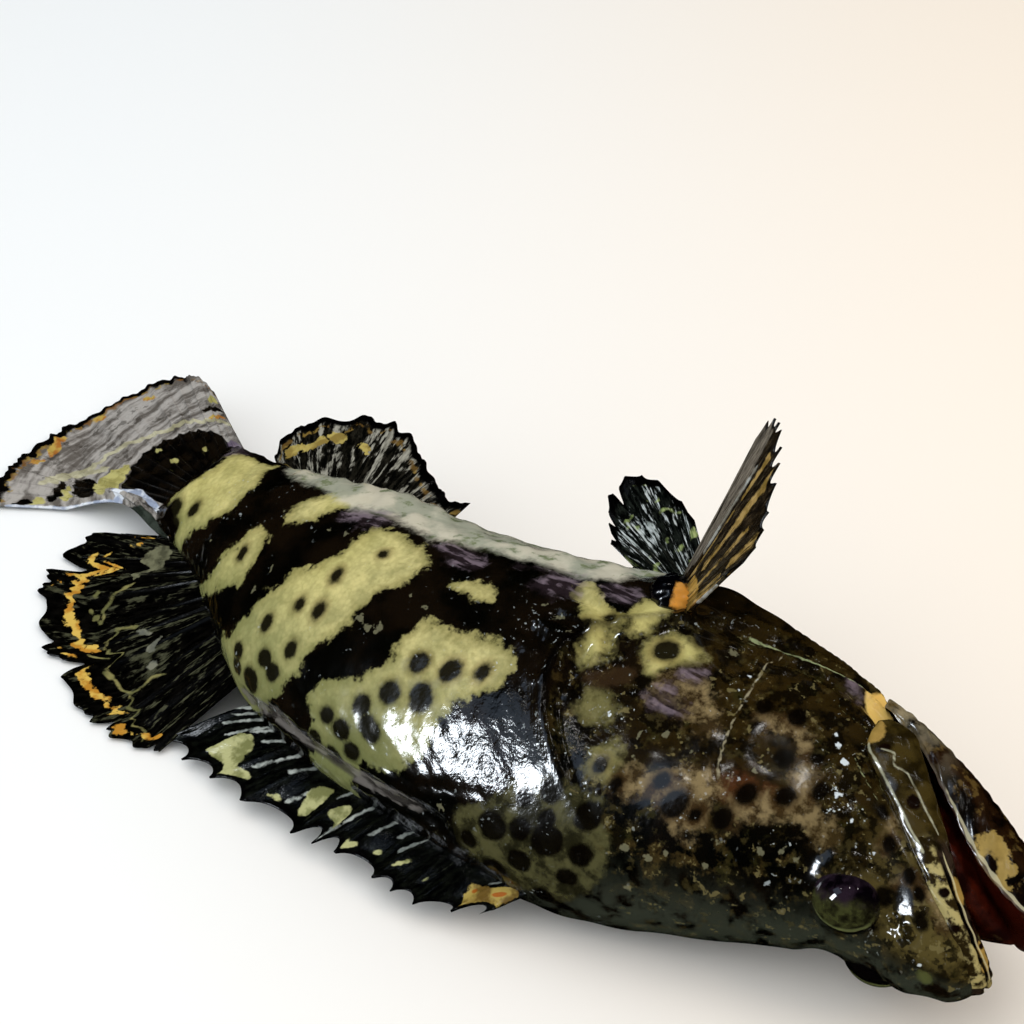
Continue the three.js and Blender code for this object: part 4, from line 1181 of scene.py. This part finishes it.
def anal_finish():
    web = Web("wet_anal_web")
    colour = web.ground((12, 12, 10), (38, 36, 30))
    colour = web.patch(colour, "base", (104, 106, 92), (128, 124, 110), 1.0, 0.8)
    colour = web.streaks(colour, 0.47, (110, 108, 98), (158, 156, 144), 0.85)
    colour = web.dark_rim(colour, 3.4)
    colour = web.band(colour, 3.4, 1.6, 0.50, (140, 116, 56), (96, 74, 38), 0.8)
    colour = web.patch(colour, "gold", (166, 150, 84), (126, 108, 56), 1.9)
    return web.finish(colour)


join_fish(anal, anal_finish())

# Pelvics: a pair of small fans that spread from the breast, away from the belly and towards the tail, with
# black rims and painted silver highlights on the rays.
PELVIC_ROOTS = [(117, -44, 9), (124, -43.5, 7), (131, -41.5, 5)]
PELVIC_TIPS = [(137, -64, 4), (149, -70.5, 2), (161.5, -72.5, 0), (168, -67.5, -1), (165.5, -58, -1),
               (156, -48, 0)]


def pelvic_finish():
    web = Web("wet_pelvic_web")
    colour = web.ground((9, 11, 10), (34, 38, 34))
    # Painted highlights: silver streaks on the rays.
    colour = web.streaks(colour, 0.44, (120, 132, 128), (196, 204, 206), 0.85)
    green = web.mix(web.fine.step(0.4, 0.6), (120, 140, 82), (170, 182, 120))
    colour = web.mix(web.noise(6, 2).step(0.58, 0.66) * 0.7, colour, green)
    colour = web.dark_rim(colour, 4.2)
    return web.finish(colour, 0.14)


pelvic_look = pelvic_finish()
for pelvic_name, hand in (("left_pelvic_fin", 1), ("right_pelvic_fin", -1)):
    pelvic = fin(pelvic_name, [(u, d, l * hand) for u, d, l in PELVIC_ROOTS],
                 [(u, d, l * hand) for u, d, l in PELVIC_TIPS], 8, 34, 0.04, 2.0, sharp=0.9, wave=1.0,
                 play=0.2, cuts=[(0.66, 0.03, 0.14), (0.85, 0.03, 0.16), (0.95, 0.02, 0.12)])
    join_fish(pelvic, pelvic_look)

# Pectorals: paddles on fleshy knobs behind the gill covers. The left one stands up and
# away from the flank; the right one is pressed between the flank and the table.
PECTORAL_MARKS = {
    "grey": lambda on: on.inside([(0.66, 0.12), (0.62, 0.6), (0.68, 1.05), (1.05, 1.05), (1.05, 0.1)]),
    "ochre": lambda on: on.lines(1.0, [(0.05, 0.25), (0.04, 0.9)], [(0.16, 0.2), (0.17, 0.55)],
                                 [(0.20, 0.65), (0.21, 0.95)], [(0.30, 0.15), (0.32, 0.8)],
                                 [(0.42, 0.3), (0.44, 0.95)], [(0.54, 0.15), (0.56, 0.6)],
                                 [(0.57, 0.7), (0.58, 0.95)]),
    "gold": lambda on: on.inside([(0.0, 0.2), (0.25, 0.26), (0.5, 0.2), (0.5, 0.08), (0.0, 0.05)]),
    # Painted highlights along the first ray and across the middle of the fan.
    "shine": lambda on: on.lines(0.5, [(0.01, 0.35), (0.0, 0.8)], [(0.62, 0.3), (0.63, 0.8)]),
}
left_pectoral = fin("left_pectoral_fin",
                    [(112, -27, 24), (116, -30, 23.5), (119, -34, 21)],
                    [(97, -30, 50), (92, -37.5, 58), (93, -47, 64), (97, -58.5, 68), (101, -65, 69),
                     (106, -68, 65), (110, -59, 52)],
                    14, 70, 0.06, 2.0, sharp=0.9, play=0.15, wave=0.9, marks=PECTORAL_MARKS)
right_pectoral = fin("right_pectoral_fin",
                     [(112, -27, -24), (116, -30, -23.5), (119, -34, -21)],
                     [(140, -22, -33), (158, -26, -32), (166, -36, -29), (166, -46, -24),
                      (158, -54, -19), (146, -56, -15), (134, -54, -13)],
                     14, 60, 0.05, 2.0, sharp=0.9, play=0.15, wave=0.3, marks=PECTORAL_MARKS)


def pectoral_finish():
    web = Web("wet_pectoral_web")
    colour = web.ground((22, 17, 10), (56, 46, 32))
    colour = web.streaks(colour, 0.44, (72, 62, 44), (104, 92, 72), 0.7)
    colour = web.patch(colour, "ochre", (166, 138, 84), (116, 94, 46), 0.7)
    colour = web.patch(colour, "gold", (186, 148, 74), (140, 112, 56), 0.8, 0.8)
    grey = web.mix(web.fine.step(0.4, 0.6), (84, 77, 68), (122, 114, 102))
    colour = web.mix((web.kept("grey") + web.ragged * 0.6).step(-0.5, 0.5) * 0.95, colour, grey)
    colour = web.mix(web.long.step(0.55, 0.62) * 0.8, colour, (20, 15, 9))
    # Painted highlight lines.
    colour = web.patch(colour, "shine", (196, 200, 196), (150, 146, 134), 0.5, 0.8)
    colour = web.dark_rim(colour, 0.9)
    return web.finish(colour, 0.16)


pectoral_look = pectoral_finish()
for pectoral in (left_pectoral, right_pectoral):
    join_fish(pectoral, pectoral_look)


def knob_finish():
    wet = Finish("wet_fin_knob")
    orange = (wet.kept("front") + (wet.noise(4) - 0.5) * 0.8).step(0.45, 0.6)
    colour = wet.mix(orange, (9, 8, 12), wet.mix(wet.noise(3), (222, 140, 40), (170, 130, 70)))
    return wet.wear(colour, 0.16, wet.noise(2.2, 4) * 0.1)


knob_material = knob_finish()
for knob_name, hand in (("left_fin_knob", 1), ("right_fin_knob", -1)):
    knob, _, _ = ball(knob_name, 56, 40)
    rays = points_of(knob)
    centre = lay(np.array([117.0]), np.array([-30.5]), np.array([25.0 * hand]))[0]
    lumps = 1 + 0.06 * ripple(rays[:, 0] * 10, rays[:, 1] * 10 + rays[:, 2] * 6, 8, 0.6)
    set_points(knob, centre + rays * lumps[:, None] * np.array([6.8, 6.8, 5.8]) / 1000)
    face_out(knob)
    note(knob, "front", rays[:, 0] * 0.7 - rays[:, 1] * 0.1 + rays[:, 2] * 0.35)
    join_fish(knob, knob_material)

# ---------------------------------------------------------------------------------------
# The table, the light and the camera. A tall window stands behind the camera's left, and
# the room is pale all round.

TABLE_SIZE = 8.0
bpy.ops.object.select_all(action="DESELECT")
bpy.ops.mesh.primitive_plane_add(size=TABLE_SIZE, location=(0, 0, 0))
table = bpy.context.object
table.name = "table"
table_look = Finish("pale_table")
# Painted warm light: the table's colour turns from cool grey at the left to peach at the right, on the
# lamp's side.
right = table_look.node("VectorMath", {"operation": "DOT_PRODUCT"},
                        {0: table_look.place(), 1: (0.78, 0.62, 0.0)}, "Value").step(-200.0, 320.0)
table_tone_with_painted_warmth = table_look.mix(right, (236, 239, 241), (243, 231, 216))
for table_socket, table_value in (("Base Color", table_tone_with_painted_warmth), ("Roughness", 0.42),
                                  ("Specular IOR Level", 0.35)):
    table_look.plug(table_look.shader.inputs[table_socket], table_value)
table.data.materials.append(table_look.material)


def soft_box(name, place, aim, size, power, colour):
    """A rectangular light at a place, facing a point."""
    light = bpy.data.lights.new(name, "AREA")
    light.shape = "RECTANGLE"
    light.size, light.size_y = size
    light.energy = power
    light.color = colour
    box = bpy.data.objects.new(name, light)
    bpy.context.scene.collection.objects.link(box)
    box.location = place
    aim_line = np.array(aim) - np.array(place)
    flat = math.hypot(aim_line[0], aim_line[1])
    box.rotation_euler = (math.atan2(flat, -aim_line[2]), 0, math.atan2(-aim_line[0], aim_line[1]))
    return box


SHOULDER = (0.048, -0.041, 0.042)
window = soft_box("window", (-0.61, -1.09, 0.70), SHOULDER, (0.24, 0.56), 12.5, (0.86, 0.93, 1.0))
pane = soft_box("pane", (-0.55, -0.72, 1.12), SHOULDER, (0.50, 0.50), 0.5, (0.60, 0.76, 1.0))
key = soft_box("key", (0.12, -0.12, 2.0), (0, 0, 0), (2.2, 2.2), 16.5, (1.0, 0.975, 0.94))
fill = soft_box("fill", (-0.5, -1.1, 0.7), (0, 0, 0), (1.2, 1.2), 4.5, (0.90, 0.96, 1.0))
lamp = soft_box("lamp", (1.5, 0.35, 1.1), (0, 0, 0), (0.5, 0.5), 5, (1.0, 0.74, 0.50))
for room_light in (key, fill, lamp):
    room_light.visible_glossy = False
for step in (-0.9, 0.0, 0.8):
    place = (0.02 + 0.78 * step, -0.12 + 0.62 * step, 2.0)
    bulb = soft_box("bulb", place, (0.1, -0.05, 0), (0.05, 0.05), 0.22, (1.0, 0.98, 0.95))
    bulb.visible_diffuse = False
for glow in (window, pane):
    glow.visible_diffuse = False
table.visible_glossy = False

world = bpy.data.worlds.new("room")
world.use_nodes = True
world.node_tree.nodes["Background"].inputs["Color"].default_value = (0.96, 0.985, 1.0, 1)
world.node_tree.nodes["Background"].inputs["Strength"].default_value = 0.82
world.cycles_visibility.glossy = False
bpy.context.scene.world = world
bpy.context.scene.view_settings.view_transform = "Standard"

CAMERA_PLACE = (0.28509, -0.32399, 0.40056)
CAMERA_DOWN, CAMERA_TURN = 37.21, 38.5
camera = bpy.data.objects.new("camera", bpy.data.cameras.new("camera"))
camera.data.lens = 70.3125
camera.data.sensor_width = 36
camera.data.clip_start = 0.02
camera.location = CAMERA_PLACE
camera.rotation_euler = (math.radians(90 - CAMERA_DOWN), 0, math.radians(CAMERA_TURN))
bpy.context.scene.collection.objects.link(camera)
bpy.context.scene.camera = camera
